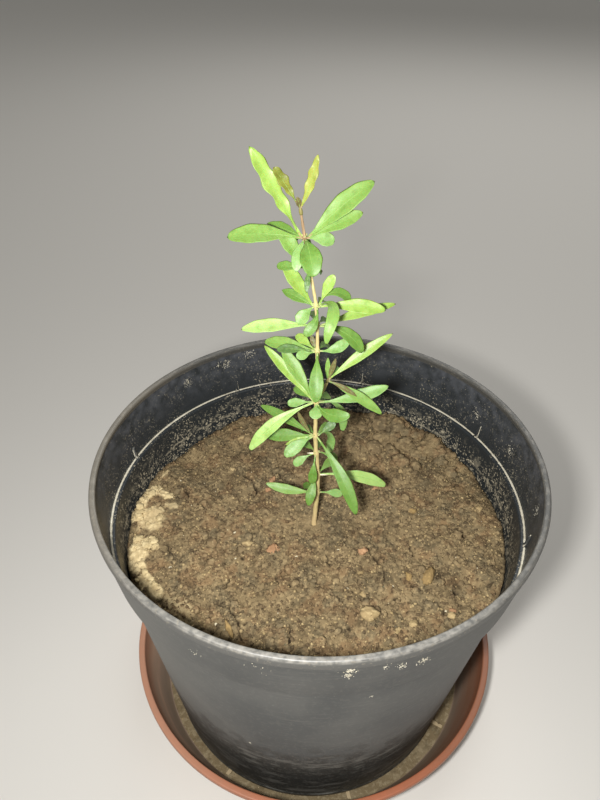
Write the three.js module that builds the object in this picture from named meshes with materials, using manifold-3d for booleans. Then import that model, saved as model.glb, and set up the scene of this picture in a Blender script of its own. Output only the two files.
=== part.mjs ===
// A young goji berry plant in a black nursery pot that stands on a terracotta-coloured saucer.
// Millimetres, +Z up. The origin is on the pot's axis, level with the saucer's flat underside.
// The plant's widest side runs along X, and -Y is the side that the plant is seen from.

import * as THREE from 'three';
import { mergeVertices } from 'three/addons/utils/BufferGeometryUtils.js';
import Module from 'manifold-3d';

const wasm = await Module();
wasm.setup();

// Driving dimensions

const SEGMENTS = 64; // sides of every turned piece
const GAP = 0.3; // clearance between pieces that touch
const EDGE = 0.8; // rounding of the moulded edges

const SAUCER = {
  radius: 127, // outside of the lip
  height: 43,
  lipWidth: 4.2,
  lipDepth: 4,
  wall: 2,
  floor: 2.4,
  floorRadius: 109, // inside, where the wall starts
  heel: 4, // how far the foot is drawn in under the wall
  fillet: 3, // height of the curve between floor and wall
  shift: [-1.5, 2.8], // the pot stands a little off the saucer's centre
  ribs: 8,
  ribSize: [28, 2.6, 1.2], // length along the radius, width, height
  ribRadius: 94, // middle of a rib
  ribPhase: 14, // degrees
};

const POT = {
  radius: 130, // outside of the rim
  top: 213, // rim above the origin
  neckRadius: 129.1, // outside, right under the rim
  shoulderRadius: 124.6, // outside of the collar, level with the ledge
  bodyRadius: 121.6, // outside of the narrower wall below the ledge
  baseRadius: 98,
  rimDepth: 6,
  rimWidth: 4,
  wall: 1.3,
  floor: 2.5,
  heel: 2, // rounding of the foot
  ledgeDrop: 35.5, // from the rim down to the ledge
  lugs: 8, // small stacking lugs along the ledge
  lugPhase: 29.5, // degrees
  lugSize: [1.8, 1.4, 9], // out of the wall, along it, height
  lean: [-3.5, -4], // how far the foot stands off the rim's axis, because the soft pot sags a little
};

const SOIL = {
  level: 157, // above the origin, at the stem
  rings: 15,
  // Gentle waves: height, waves per millimetre along x and y, phase.
  waves: [
    [0.8, 0.11, 0.13, 1.3],
    [0.5, 0.27, -0.21, 2],
    [0.3, 0.43, 0.37, 0.5],
  ],
  // Heaps, lumps and hollows, the lumps about 25 mm apart: x, y, height, spread.
  heaps: [
    [56, 98, 6, 14],
    [84, 78, 5, 12],
    [-104, 10, 4, 16],
    [-88, 66, -4, 24],
    [-104, -28, 3.5, 11],
    [-92, -53, 3, 10],
    [-72, -68, 2.5, 10],
    [-50, -76, 2.6, 11],
    [-43, -31, 2.8, 8],
    [-20, -52, 2.4, 8],
    [2, -78, 2.2, 9],
    [8, -44, -2.4, 9],
    [27, -26, 2.4, 8],
    [29, -69, 2.8, 8],
    [54, -76, 2.2, 8],
    [63, -43, 2.6, 8],
    [49, -19, -2.2, 9],
    [78, -17, 2.6, 9],
    [97, -39, 2.4, 8],
    [98, 12, 2.4, 9],
    [60, 20, 2.6, 9],
    [42, 47, -2.4, 9],
    [22, 77, 2.6, 9],
    [22, 15, 2.2, 8],
    [-14, 87, 2.2, 9],
    [-55, 78, 2.4, 10],
    [-22, 55, -2.2, 9],
    [-46, 35, 2.6, 9],
    [-68, -2, 2.8, 9],
    [-31, 5, 2.2, 8],
  ],
  calm: 12, // radius round the stem where the waves die away
  edgeDrop: 6, // the lowest that the surface lies against the wall
};

const STEM = {
  footRadius: 1.8, // where the root flare meets the soil
  radius: 1.6, // above the flare
  tipRadius: 0.75,
  flare: 7, // height of the root flare
  sides: 8,
  stations: 26,
  // The way the stem leans: x and y from the pot's axis, and height above the soil.
  path: [
    [-2, -3, 0],
    [-0.2, -3, 38],
    [-2, -3, 73],
    [-1.5, -3, 115],
    [-2.5, -3, 155],
    [-6, -3, 177],
    [-9.8, -3, 203],
  ],
};

const SIDE_SHOOT = {
  joinHeight: 103, // on the stem, above the soil
  tip: [3.6, -1.4, 109.2], // x and y from the pot's axis, and height above the soil
  radius: 1.1,
  tipRadius: 0.8,
  slant: 0.75, // how much of its radius stands towards the stem at its foot
  bow: 0.8, // how far it bows out on the way
  sides: 8,
  stations: 5,
};

// Blade forms of the leaves: full width, where along the blade it is widest, and the powers that
// round off its tip and draw in its foot.
const FORM = {
  broad: { width: 10, widest: 0.6, tip: 0.56, foot: 1.05 },
  long: { width: 7.4, widest: 0.62, tip: 0.6, foot: 1.1 },
  lance: { width: 5.8, widest: 0.58, tip: 0.68, foot: 1.1 },
  spoon: { width: 5.2, widest: 0.68, tip: 0.5, foot: 1.15 },
  round: { width: 7, widest: 0.64, tip: 0.5, foot: 1 },
  strap: { width: 4.4, widest: 0.57, tip: 0.7, foot: 1 },
  slim: { width: 2.8, widest: 0.55, tip: 0.75, foot: 1.1 },
};

// Whorls of leaves from the soil up. Each leaf has its form, length, turn about the stem
// (0 is +X, 90 is away, 180 is -X, 270 is towards the viewer), rise at its foot, and droop to its tip,
// and where it swings round, how far its turn changes on the way.
// Thorns have a turn and a length. fill is the number of further leaves that the seeded rule adds.
const WHORLS = [
  {
    name: 'foliage_1',
    height: 28,
    leaves: [
      ['lance', 30, 170, -12, -30],
      ['spoon', 14, 10, -10, 10],
    ],
    thorns: [],
    fill: 1,
  },
  {
    name: 'foliage_2',
    height: 43,
    leaves: [
      ['long', 43, 8, -1, 38],
      ['lance', 18, 249, -24, 48],
    ],
    thorns: [[350, 4]],
    fill: 2,
  },
  {
    name: 'foliage_3',
    height: 60,
    leaves: [
      ['spoon', 13, 197, -15, 30],
      ['spoon', 18, 257, -50, 40],
      ['spoon', 17, 30, -35, 20],
    ],
    thorns: [[190, 3.5]],
    fill: 2,
  },
  {
    name: 'foliage_4',
    height: 73,
    leaves: [
      ['lance', 37, 147, 13, 12],
      ['slim', 17, 155, 44, -28],
      ['long', 27, 172, -5, 8],
      ['slim', 16, 186, -10, 22],
      ['long', 19, 208, -10, 32],
      ['long', 49, 309, -22, 42],
      ['spoon', 12, 20, 40, 8],
      ['spoon', 29, 52, -14, 104],
    ],
    thorns: [],
    fill: 2,
  },
  {
    name: 'foliage_5',
    height: 97,
    leaves: [
      ['lance', 40, 150, 41, 4],
      ['long', 33, 138, 50, 12],
      ['spoon', 14, 175, -4, 12],
      ['spoon', 15, 137, 10, 12],
      ['long', 45, 199, -12, 46],
      ['round', 8.5, 268, -20, 20],
      ['long', 38, 6, 2, -24],
      ['long', 22, 292, -7, -26, 74],
      ['spoon', 38, 38, -20, 84],
    ],
    thorns: [],
    fill: 2,
  },
  {
    name: 'foliage_6',
    height: 130,
    leaves: [
      ['long', 27, 164, 8, 16],
      ['spoon', 19, 182, 12, 18],
      ['spoon', 10, 208, 8, 22],
      ['spoon', 13, 142, 22, 6],
      ['slim', 8, 120, 48, 0],
      ['lance', 17, 8, -8, -70],
      ['long', 26, 269, -25, 48],
    ],
    thorns: [],
    fill: 2,
  },
  {
    name: 'foliage_7',
    height: 145,
    leaves: [
      ['lance', 39, 14, 15, 8],
      ['long', 27, 352, 4, 76],
      ['long', 36, 186, 9, 20],
    ],
    thorns: [[200, 3]],
    fill: 2,
  },
  {
    name: 'foliage_8',
    height: 156,
    leaves: [
      ['spoon', 17, 22, 70, 12],
      ['spoon', 21, 44, 58, 130, -50],
      ['lance', 34, 329, 54, 150, -122],
      ['long', 32, 356, 9, 20],
      ['spoon', 16, 284, -30, 20, -100],
      ['lance', 17, 160, 24, 12],
      ['round', 11, 216, -14, 50],
      ['long', 24, 158, 53, 6],
    ],
    thorns: [],
    fill: 2,
  },
  {
    name: 'foliage_9',
    height: 176,
    leaves: [
      ['long', 21, 155, 50, 4],
      ['spoon', 14, 172, 6, 14],
      ['slim', 11, 262, -30, 40],
    ],
    thorns: [[10, 4]],
    fill: 2,
  },
  {
    name: 'foliage_10',
    height: 191,
    leaves: [
      ['long', 45, 168, 61, 3],
      ['broad', 34, 179, 11, 24],
      ['lance', 20, 148, 14, 20],
      ['broad', 38, 12, 46, 14],
      ['long', 27, 14, 24, 6],
      ['round', 12, 0, 0, 14],
      ['broad', 20, 284, -4, 62],
      ['lance', 16, 253, -20, 50],
    ],
    thorns: [],
    fill: 2,
  },
];

const TIP_WHORL = {
  name: 'foliage_tip',
  bud: 5, // length of the bud that carries the youngest leaves
  leaves: [
    ['spoon', 21, 165, 58, 6],
    ['strap', 25, 0, 66, -14],
    ['slim', 6, 200, 74, 0],
  ],
};

const SIDE_WHORL = {
  name: 'foliage_side',
  bud: 3,
  leaves: [
    ['lance', 42, 18, 38, 10],
    ['spoon', 11, 60, 20, 12],
    ['lance', 35, 348, -20, 20],
    ['slim', 18, 345, -14, 20],
    ['slim', 13, 90, 78, 0],
    ['slim', 14, 20, 68, -8],
  ],
};

const LEAF = {
  stations: 8, // sections along a blade
  tipSection: 0.6, // one more section, this far from the last of them to the tip, that rounds the tip
  thickness: 0.6, // least thickness at the midrib
  slender: 60, // a blade is at least its length over this thick
  fold: 0.12, // how far the edges stand up, as a share of the half width
  petiole: 0.16, // narrowest width of a blade's foot, as a share of its full width
  root: 0.6, // how far a leaf's foot is sunk into its collar
};

const COLLAR = { wall: 1.1, height: 3.4, sides: 8 };
const BUD = { swell: 1.4, sides: 6, seat: 0.35 }; // width over its limb's, and where its leaves join it
const THORN = { radius: 0.45, sides: 4, rise: 0.15 };
const LIGHT = new THREE.Vector3(0.05, -0.62, 0.78).normalize(); // blades turn their upper face this way

const FILL = {
  seed: 20511,
  turn: [58, 122], // the side away from the viewer, which the seen leaves leave thin
  rise: [-24, -4],
  droop: [20, 50],
  length: [16, 32],
  lanceFrom: 22, // longer ones are lance-shaped, shorter ones spoon-shaped
  tries: 40,
  clear: 3.4, // least distance between two leaves' midribs
};

const COLOUR = {
  saucer: 0x9a5a40,
  pot: 0x25282b,
  soil: 0x5b4836,
  stem: 0xb9a77c,
  leaf: 0x7fae3e,
  youngLeaf: 0xa9b44a,
};

// Helpers

const radians = THREE.MathUtils.degToRad;

function seededRandom(seed) {
  let state = seed;
  return () => {
    state = (state * 16807) % 2147483647;
    return state / 2147483647;
  };
}

function material(color, roughness) {
  return new THREE.MeshStandardMaterial({ color, roughness, metalness: 0, flatShading: true });
}

function geometryFrom(positions, indices) {
  const geometry = new THREE.BufferGeometry();
  geometry.setAttribute('position', new THREE.Float32BufferAttribute(positions, 3));
  geometry.setIndex(indices);
  return geometry;
}

function bare(geometry) {
  const copy = geometry.clone();
  copy.deleteAttribute('normal');
  copy.deleteAttribute('uv');
  return mergeVertices(copy, 1e-4);
}

function toSolid(geometry) {
  const merged = bare(geometry);
  return new wasm.Manifold(
    new wasm.Mesh({
      numProp: 3,
      vertProperties: new Float32Array(merged.attributes.position.array),
      triVerts: new Uint32Array(merged.index.array),
    }),
  );
}

function toGeometry(solid) {
  const mesh = solid.getMesh();
  return geometryFrom(Array.from(mesh.vertProperties), Array.from(mesh.triVerts));
}

function fuse(geometries) {
  const whole = geometries.map(toSolid).reduce((sum, piece) => sum.add(piece));
  return toGeometry(whole);
}

// A profile of [radius, height] points turned about the Z axis.
function turned(profile) {
  const points = profile.map(([r, z]) => new THREE.Vector2(r, z));
  return new THREE.LatheGeometry(points, SEGMENTS).rotateX(Math.PI / 2);
}

// Rings of points, all with the same count, closed by a flat or pointed end.
function loft(rings, tip) {
  const sides = rings[0].length;
  const positions = rings.flat().flatMap((p) => [p.x, p.y, p.z]);
  const indices = [];
  for (let i = 0; i < rings.length - 1; i += 1) {
    for (let j = 0; j < sides; j += 1) {
      const a = i * sides + j;
      const b = i * sides + ((j + 1) % sides);
      indices.push(a, b, b + sides, a, b + sides, a + sides);
    }
  }
  for (let j = 1; j < sides - 1; j += 1) indices.push(0, j + 1, j);
  const last = (rings.length - 1) * sides;
  if (tip) {
    positions.push(tip.x, tip.y, tip.z);
    const end = rings.length * sides;
    for (let j = 0; j < sides; j += 1) indices.push(last + j, last + ((j + 1) % sides), end);
  } else {
    for (let j = 1; j < sides - 1; j += 1) indices.push(last, last + j, last + j + 1);
  }
  return geometryFrom(positions, indices);
}

// A circle of points about centre, square to the direction along.
function circle(centre, along, radius, sides) {
  const side = new THREE.Vector3(0, 1, 0).cross(along).normalize();
  const up = along.clone().cross(side).normalize();
  return Array.from({ length: sides }, (_, j) => {
    const angle = (2 * Math.PI * j) / sides;
    return centre
      .clone()
      .addScaledVector(side, radius * Math.cos(angle))
      .addScaledVector(up, radius * Math.sin(angle));
  });
}

// Saucer

function saucerGeometry() {
  const { radius, height, lipWidth, lipDepth, wall, floor, floorRadius, heel, fillet } = SAUCER;
  const lipInside = radius - lipWidth;
  const underLip = height - lipDepth;
  const dish = turned([
    [0, 0],
    [floorRadius - heel, 0],
    [floorRadius + wall, heel],
    [lipInside + wall, underLip],
    [radius - EDGE / 2, underLip],
    [radius, underLip + EDGE],
    [radius, height - EDGE],
    [radius - EDGE, height],
    [lipInside + EDGE, height],
    [lipInside, height - EDGE],
    [lipInside - EDGE, underLip],
    [floorRadius + EDGE, floor + fillet],
    [floorRadius - EDGE, floor],
    [0, floor],
  ]);
  const [length, width, rise] = SAUCER.ribSize;
  const ribs = Array.from({ length: SAUCER.ribs }, (_, i) => {
    const angle = radians(SAUCER.ribPhase + (360 * i) / SAUCER.ribs);
    return new THREE.BoxGeometry(length, width, rise * 2)
      .translate(SAUCER.ribRadius, 0, floor)
      .rotateZ(angle);
  });
  return fuse([dish, ...ribs]);
}

// Pot

const POT_FOOT = SAUCER.floor + SAUCER.ribSize[2] + GAP;
const LEDGE = POT.top - POT.ledgeDrop;
const LEDGE_EDGE = 0.25; // half the height of the step at the ledge
const COLLAR_SLOPE = (POT.neckRadius - POT.shoulderRadius) / (POT.ledgeDrop - POT.rimDepth);
const BODY_SLOPE = (POT.bodyRadius - POT.baseRadius) / (LEDGE - POT_FOOT);

// Outside of the collar, the wider band of wall above the ledge.
function collarOutside(z) {
  return POT.shoulderRadius + COLLAR_SLOPE * (z - LEDGE);
}

// Outside of the body, the narrower wall below the ledge.
function bodyOutside(z) {
  return POT.baseRadius + BODY_SLOPE * (z - POT_FOOT);
}

function potInside(z) {
  return (z > LEDGE ? collarOutside(z) : bodyOutside(z)) - POT.wall;
}

// Leans a turned piece: the rim stays where it is, and the foot moves off its axis.
function leaned(geometry) {
  const drop = POT_FOOT - POT.top;
  const alongX = POT.lean[0] / drop;
  const alongY = POT.lean[1] / drop;
  const lean = new THREE.Matrix4().makeShear(0, 0, 0, 0, alongX, alongY);
  return geometry.applyMatrix4(lean).translate(-alongX * POT.top, -alongY * POT.top, 0);
}

function potGeometry() {
  const { radius, top, rimDepth, rimWidth, wall, floor, heel } = POT;
  const underRim = top - rimDepth;
  const foot = POT_FOOT + heel;
  const underLedge = LEDGE - wall;
  const shell = turned([
    [0, POT_FOOT],
    [bodyOutside(POT_FOOT) - heel, POT_FOOT],
    [bodyOutside(foot), foot],
    [bodyOutside(underLedge - LEDGE_EDGE), underLedge - LEDGE_EDGE],
    [collarOutside(underLedge + LEDGE_EDGE), underLedge + LEDGE_EDGE],
    [collarOutside(underRim), underRim],
    [radius - EDGE, underRim],
    [radius, underRim + EDGE],
    [radius, top - EDGE],
    [radius - EDGE, top],
    [radius - rimWidth + EDGE, top],
    [radius - rimWidth, top - EDGE],
    [potInside(underRim), underRim],
    [potInside(LEDGE + LEDGE_EDGE), LEDGE + LEDGE_EDGE],
    [potInside(LEDGE - LEDGE_EDGE), LEDGE - LEDGE_EDGE],
    [potInside(foot + floor), foot + floor],
    [potInside(POT_FOOT + floor) - heel, POT_FOOT + floor],
    [0, POT_FOOT + floor],
  ]);
  const [out, along, height] = POT.lugSize;
  const lugs = Array.from({ length: POT.lugs }, (_, i) => {
    const angle = radians(POT.lugPhase + (360 * i) / POT.lugs);
    const middle = LEDGE + height / 2 - EDGE;
    return new THREE.BoxGeometry(out, along, height)
      .rotateY(Math.atan(COLLAR_SLOPE))
      .translate(potInside(middle) - out / 4, 0, middle)
      .rotateZ(angle);
  });
  return leaned(fuse([shell, ...lugs]));
}

// Soil

// The soil's surface is a little uneven, with lumps all over it and heaps against the wall at the back.
function soilTop(x, y) {
  const [stemX, stemY] = STEM.path[0];
  const stemDistance = Math.hypot(x - stemX, y - stemY);
  const away = 1 - Math.exp(-((stemDistance / SOIL.calm) ** 2));
  const wave = ([rise, alongX, alongY, phase]) => rise * Math.sin(x * alongX + y * alongY + phase);
  const heap = ([cx, cy, rise, spread]) => rise * Math.exp(-((Math.hypot(x - cx, y - cy) / spread) ** 2));
  const total = (values) => values.reduce((sum, value) => sum + value, 0);
  return SOIL.level + away * total(SOIL.waves.map(wave)) + total(SOIL.heaps.map(heap));
}

function soilGeometry() {
  const bottom = POT_FOOT + POT.floor + GAP;
  const foot = bottom + POT.heel;
  const wallRadius = (z) => potInside(z) - GAP;
  const lowestTop = SOIL.level - SOIL.edgeDrop;
  const positions = [0, 0, soilTop(0, 0)];
  const addRing = (radius, height) => {
    for (let j = 0; j < SEGMENTS; j += 1) {
      const angle = (2 * Math.PI * j) / SEGMENTS;
      const x = radius * Math.sin(angle);
      const y = radius * Math.cos(angle);
      positions.push(x, y, height ?? soilTop(x, y));
    }
  };
  for (let i = 1; i <= SOIL.rings; i += 1) addRing((wallRadius(lowestTop) * i) / SOIL.rings);
  addRing(wallRadius(foot) - GAP, foot);
  addRing(wallRadius(bottom) - POT.heel, bottom);
  positions.push(0, 0, bottom);

  const indices = [];
  const rows = SOIL.rings + 2;
  const lastRow = 1 + (rows - 1) * SEGMENTS;
  const bottomPoint = lastRow + SEGMENTS;
  for (let j = 0; j < SEGMENTS; j += 1) {
    const next = (j + 1) % SEGMENTS;
    indices.push(0, 1 + next, 1 + j);
    for (let i = 0; i < rows - 1; i += 1) {
      const a = 1 + i * SEGMENTS + j;
      const b = 1 + i * SEGMENTS + next;
      indices.push(a, b, b + SEGMENTS, a, b + SEGMENTS, a + SEGMENTS);
    }
    indices.push(lastRow + j, lastRow + next, bottomPoint);
  }
  return leaned(geometryFrom(positions, indices));
}

// Stem and side shoot

const stemCurve = new THREE.CatmullRomCurve3(
  STEM.path.map(([x, y, h]) => new THREE.Vector3(x, y, SOIL.level + GAP + h)),
);
const STEM_HEIGHT = STEM.path[STEM.path.length - 1][2];

// The stem rises steadily, so its curve parameter is found by halving.
function stemAt(height) {
  const z = SOIL.level + GAP + height;
  let low = 0;
  let high = 1;
  for (let i = 0; i < 40; i += 1) {
    const middle = (low + high) / 2;
    if (stemCurve.getPoint(middle).z < z) low = middle;
    else high = middle;
  }
  return { point: stemCurve.getPoint(low), along: stemCurve.getTangent(low) };
}

function stemRadius(height) {
  const share = height / STEM_HEIGHT;
  const flare = (STEM.footRadius - STEM.radius) * Math.exp(-height / (STEM.flare / 2));
  return STEM.radius + (STEM.tipRadius - STEM.radius) * share + flare;
}

function stemGeometry() {
  const rings = [];
  for (let i = 0; i <= STEM.stations; i += 1) {
    const share = i / STEM.stations;
    const height = STEM_HEIGHT * share ** 1.25;
    const { point, along } = stemAt(height);
    const flat = i === 0 ? new THREE.Vector3(0, 0, 1) : along;
    rings.push(circle(point, flat, stemRadius(height), STEM.sides));
  }
  return loft(rings);
}

const shootTip = new THREE.Vector3(
  SIDE_SHOOT.tip[0],
  SIDE_SHOOT.tip[1],
  SOIL.level + GAP + SIDE_SHOOT.tip[2],
);

function shootCurve() {
  const { point } = stemAt(SIDE_SHOOT.joinHeight);
  const out = shootTip.clone().sub(point).setZ(0).normalize();
  const clear = stemRadius(SIDE_SHOOT.joinHeight) + GAP + SIDE_SHOOT.radius * SIDE_SHOOT.slant;
  const foot = point.clone().addScaledVector(out, clear);
  const middle = foot.clone().lerp(shootTip, 0.5).addScaledVector(out, SIDE_SHOOT.bow);
  return new THREE.QuadraticBezierCurve3(foot, middle, shootTip);
}

function shootGeometry() {
  const curve = shootCurve();
  const rings = [];
  for (let i = 0; i <= SIDE_SHOOT.stations; i += 1) {
    const share = i / SIDE_SHOOT.stations;
    const radius = THREE.MathUtils.lerp(SIDE_SHOOT.radius, SIDE_SHOOT.tipRadius, share);
    rings.push(circle(curve.getPoint(share), curve.getTangent(share), radius, SIDE_SHOOT.sides));
  }
  return loft(rings);
}

// Leaves

// Half the blade's width at a share of its length: a narrow foot, widest past the middle, a rounded tip.
function halfWidth(form, share) {
  const power = Math.log(0.5) / Math.log(form.widest);
  const bulge = Math.sin(Math.PI * share ** power);
  const half = form.width / 2;
  if (share < form.widest) return half * Math.max(LEAF.petiole, bulge ** form.foot);
  return half * bulge ** form.tip;
}

// The level direction at a turn about the stem.
function heading(turn) {
  return new THREE.Vector3(Math.cos(radians(turn)), Math.sin(radians(turn)), 0);
}

// How far from the middle of a limb its leaves and thorns start, sunk into the collar.
function rootRadius(limbRadius) {
  return limbRadius + GAP + COLLAR.wall - LEAF.root;
}

// The midrib of a leaf: it leaves the limb at its rise, and droops and veers evenly to its tip.
function midrib(centre, startRadius, [formName, length, turn, rise, droop, veer = 0]) {
  const points = [];
  const along = [];
  const cursor = centre.clone().addScaledVector(heading(turn), startRadius);
  for (let i = 0; i <= LEAF.stations; i += 1) {
    const share = i / LEAF.stations;
    const pitch = radians(rise - droop * share);
    const direction = heading(turn + veer * share).multiplyScalar(Math.cos(pitch)).setZ(Math.sin(pitch));
    points.push(cursor.clone());
    along.push(direction);
    cursor.addScaledVector(direction, length / LEAF.stations);
  }
  return { form: FORM[formName], length, points, along };
}

function leafGeometry({ form, length, points, along }) {
  const thick = Math.max(LEAF.thickness, length / LEAF.slender) / 2;
  const section = (point, direction, share) => {
    const face = LIGHT.clone().addScaledVector(direction, -LIGHT.dot(direction)).normalize();
    const side = face.clone().cross(direction).normalize();
    const half = halfWidth(form, share);
    const lift = half * LEAF.fold;
    return [
      point.clone().addScaledVector(side, half).addScaledVector(face, lift),
      point.clone().addScaledVector(face, thick),
      point.clone().addScaledVector(side, -half).addScaledVector(face, lift),
      point.clone().addScaledVector(face, -thick),
    ];
  };
  const tip = points[LEAF.stations];
  const rings = points.slice(0, -1).map((point, i) => section(point, along[i], i / LEAF.stations));
  const last = LEAF.stations - 1;
  const nearTip = points[last].clone().lerp(tip, LEAF.tipSection);
  rings.push(section(nearTip, along[last], (last + LEAF.tipSection) / LEAF.stations));
  return loft(rings, tip);
}

function thornGeometry(centre, startRadius, [turn, length]) {
  const out = heading(turn).setZ(THORN.rise).normalize();
  const foot = centre.clone().addScaledVector(out, startRadius);
  const base = circle(foot, out, THORN.radius, THORN.sides);
  return loft([base], foot.clone().addScaledVector(out, length));
}

// A ring of thickened bark round the stem, clear of it, that carries a whorl of leaves.
function collarGeometry(centre, along, limbRadius) {
  const inner = (limbRadius + GAP) / Math.cos(Math.PI / COLLAR.sides);
  const outer = inner + COLLAR.wall;
  const start = centre.clone().addScaledVector(along, -COLLAR.height / 2);
  const end = centre.clone().addScaledVector(along, COLLAR.height / 2);
  const tube = (from, to, radius) =>
    toSolid(loft([circle(from, along, radius, COLLAR.sides), circle(to, along, radius, COLLAR.sides)]));
  const past = along.clone().setLength(EDGE);
  const bore = tube(start.clone().sub(past), end.clone().add(past), inner);
  return toGeometry(tube(start, end, outer).subtract(bore));
}

const CROWDED = 3; // stations at a leaf's foot that lie close to its neighbours

// Smallest distance between two midribs, past the crowded feet of their whorl.
function midribDistance(a, b) {
  let least = Infinity;
  a.points.slice(CROWDED).forEach((p) => {
    b.points.slice(CROWDED).forEach((q) => {
      least = Math.min(least, p.distanceTo(q));
    });
  });
  return least;
}

// Seeded leaves fill the side of a whorl that the seen leaves leave thin.
function fillLeaves(whorl, centre, startRadius, placed, random) {
  const between = ([low, high]) => low + (high - low) * random();
  const added = [];
  for (let i = 0; i < FILL.tries && added.length < whorl.fill; i += 1) {
    const length = between(FILL.length);
    const form = length > FILL.lanceFrom ? 'lance' : 'spoon';
    const spec = [form, length, between(FILL.turn), between(FILL.rise), between(FILL.droop)];
    const rib = midrib(centre, startRadius, spec);
    if (placed.every((other) => midribDistance(rib, other) > FILL.clear)) {
      placed.push(rib);
      added.push(rib);
    }
  }
  return added;
}

// A pointed bud that carries on from a limb's tip.
function budGeometry(foot, tip, limbRadius) {
  const along = tip.clone().sub(foot).normalize();
  const seat = foot.clone().lerp(tip, BUD.seat);
  const rings = [
    circle(foot, along, limbRadius, BUD.sides),
    circle(seat, along, limbRadius * BUD.swell, BUD.sides),
  ];
  return loft(rings, tip);
}

function buildFoliage() {
  const random = seededRandom(FILL.seed);
  const masses = [];
  const placed = [];
  const whorls = WHORLS.map((whorl) => {
    const { point, along } = stemAt(whorl.height);
    const limbRadius = stemRadius(whorl.height);
    const ribs = whorl.leaves.map((leaf) => midrib(point, rootRadius(limbRadius), leaf));
    placed.push(...ribs);
    return { whorl, point, along, limbRadius, ribs };
  });

  const stemTip = stemAt(STEM_HEIGHT);
  const spurAlong = shootCurve().getTangent(1);
  const ends = [
    [TIP_WHORL, stemTip.point, stemTip.along, STEM.tipRadius, COLOUR.youngLeaf],
    [SIDE_WHORL, shootTip, spurAlong, SIDE_SHOOT.tipRadius, COLOUR.leaf],
  ].map(([whorl, limbTip, along, limbRadius, color]) => {
    const foot = limbTip.clone().addScaledVector(along, GAP);
    const tip = foot.clone().addScaledVector(along, whorl.bud);
    const ribs = whorl.leaves.map((leaf) => midrib(foot.clone().lerp(tip, BUD.seat), 0, leaf));
    placed.push(...ribs);
    return { name: whorl.name, foot, tip, limbRadius, ribs, color };
  });

  whorls.forEach(({ whorl, point, along, limbRadius, ribs }) => {
    const startRadius = rootRadius(limbRadius);
    const filled = fillLeaves(whorl, point, startRadius, placed, random);
    const pieces = [
      collarGeometry(point, along, limbRadius),
      ...[...ribs, ...filled].map(leafGeometry),
      ...whorl.thorns.map((thorn) => thornGeometry(point, startRadius, thorn)),
    ];
    masses.push([whorl.name, fuse(pieces), COLOUR.leaf]);
  });
  ends.forEach(({ name, foot, tip, limbRadius, ribs, color }) => {
    masses.push([name, fuse([budGeometry(foot, tip, limbRadius), ...ribs.map(leafGeometry)]), color]);
  });
  return masses;
}

// Assembly

const plant = new THREE.Group();

function addPiece(name, geometry, color, roughness) {
  const mesh = new THREE.Mesh(geometry, material(color, roughness));
  mesh.name = name;
  plant.add(mesh);
  return mesh;
}

const saucer = addPiece('saucer', saucerGeometry(), COLOUR.saucer, 0.6);
saucer.position.set(SAUCER.shift[0], SAUCER.shift[1], 0);
addPiece('pot', potGeometry(), COLOUR.pot, 0.45);
addPiece('soil', soilGeometry(), COLOUR.soil, 0.95);
addPiece('main_stem', stemGeometry(), COLOUR.stem, 0.8);
addPiece('side_shoot', shootGeometry(), COLOUR.stem, 0.8);
buildFoliage().forEach(([name, geometry, color]) => addPiece(name, geometry, color, 0.55));

export default plant;
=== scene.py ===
"""Looks of a young goji berry plant in a black nursery pot that stands on a terracotta-coloured saucer.

Sizes are in millimetres and meshes in metres. +Z is up, -Y is the side that the plant is seen from, and the
origin is on the pot's axis, level with the saucer's flat underside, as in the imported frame.
"""

from __future__ import annotations

import logging
import math
import random
from collections.abc import Callable, Iterable, Iterator, Sequence
from dataclasses import dataclass, field, replace
from enum import Enum

import bmesh
import bpy
from bpy.types import Material, Node, NodeSocket, NodeTree, Object
from mathutils import Matrix, Vector, noise
from mathutils.geometry import intersect_point_line


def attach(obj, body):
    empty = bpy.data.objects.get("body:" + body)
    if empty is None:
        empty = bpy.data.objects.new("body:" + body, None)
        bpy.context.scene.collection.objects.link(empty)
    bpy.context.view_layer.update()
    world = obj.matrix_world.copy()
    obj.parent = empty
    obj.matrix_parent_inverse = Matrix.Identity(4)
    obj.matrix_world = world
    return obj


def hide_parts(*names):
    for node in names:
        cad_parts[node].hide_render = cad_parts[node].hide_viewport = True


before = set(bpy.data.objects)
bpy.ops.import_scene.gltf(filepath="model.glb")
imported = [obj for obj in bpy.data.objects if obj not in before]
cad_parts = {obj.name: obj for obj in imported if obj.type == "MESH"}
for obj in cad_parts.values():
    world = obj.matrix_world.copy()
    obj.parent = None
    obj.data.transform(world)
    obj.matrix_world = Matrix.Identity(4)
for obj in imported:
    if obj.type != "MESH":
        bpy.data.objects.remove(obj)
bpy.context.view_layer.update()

LOG = logging.getLogger("goji_plant")
MM = 0.001  # metres in a millimetre
UP = Vector((0, 0, 1))
AXIS = 0.05  # how near the axis a turned profile ends, in millimetres
ROOT = "root"  # the one body of a part without joints

Pair = tuple[float, float]
Triple = tuple[float, float, float]
Faces = list[tuple[int, ...]]  # the corner numbers of each face

# Heights in millimetres that shapes and finishes share.
RIM = 213
LEDGE = 177.5
SOIL_LEVEL = 157


# Helpers


def select_none() -> None:
    """Leaves edit mode and deselects every object, because an operator acts on all that is selected."""
    if bpy.context.object is not None and bpy.context.object.mode != "OBJECT":
        bpy.ops.object.mode_set(mode="OBJECT")
    bpy.ops.object.select_all(action="DESELECT")


def edit_all() -> None:
    """Enters edit mode on the active object, with its whole mesh selected."""
    bpy.ops.object.mode_set(mode="EDIT")
    bpy.ops.mesh.select_all(action="SELECT")


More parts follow.
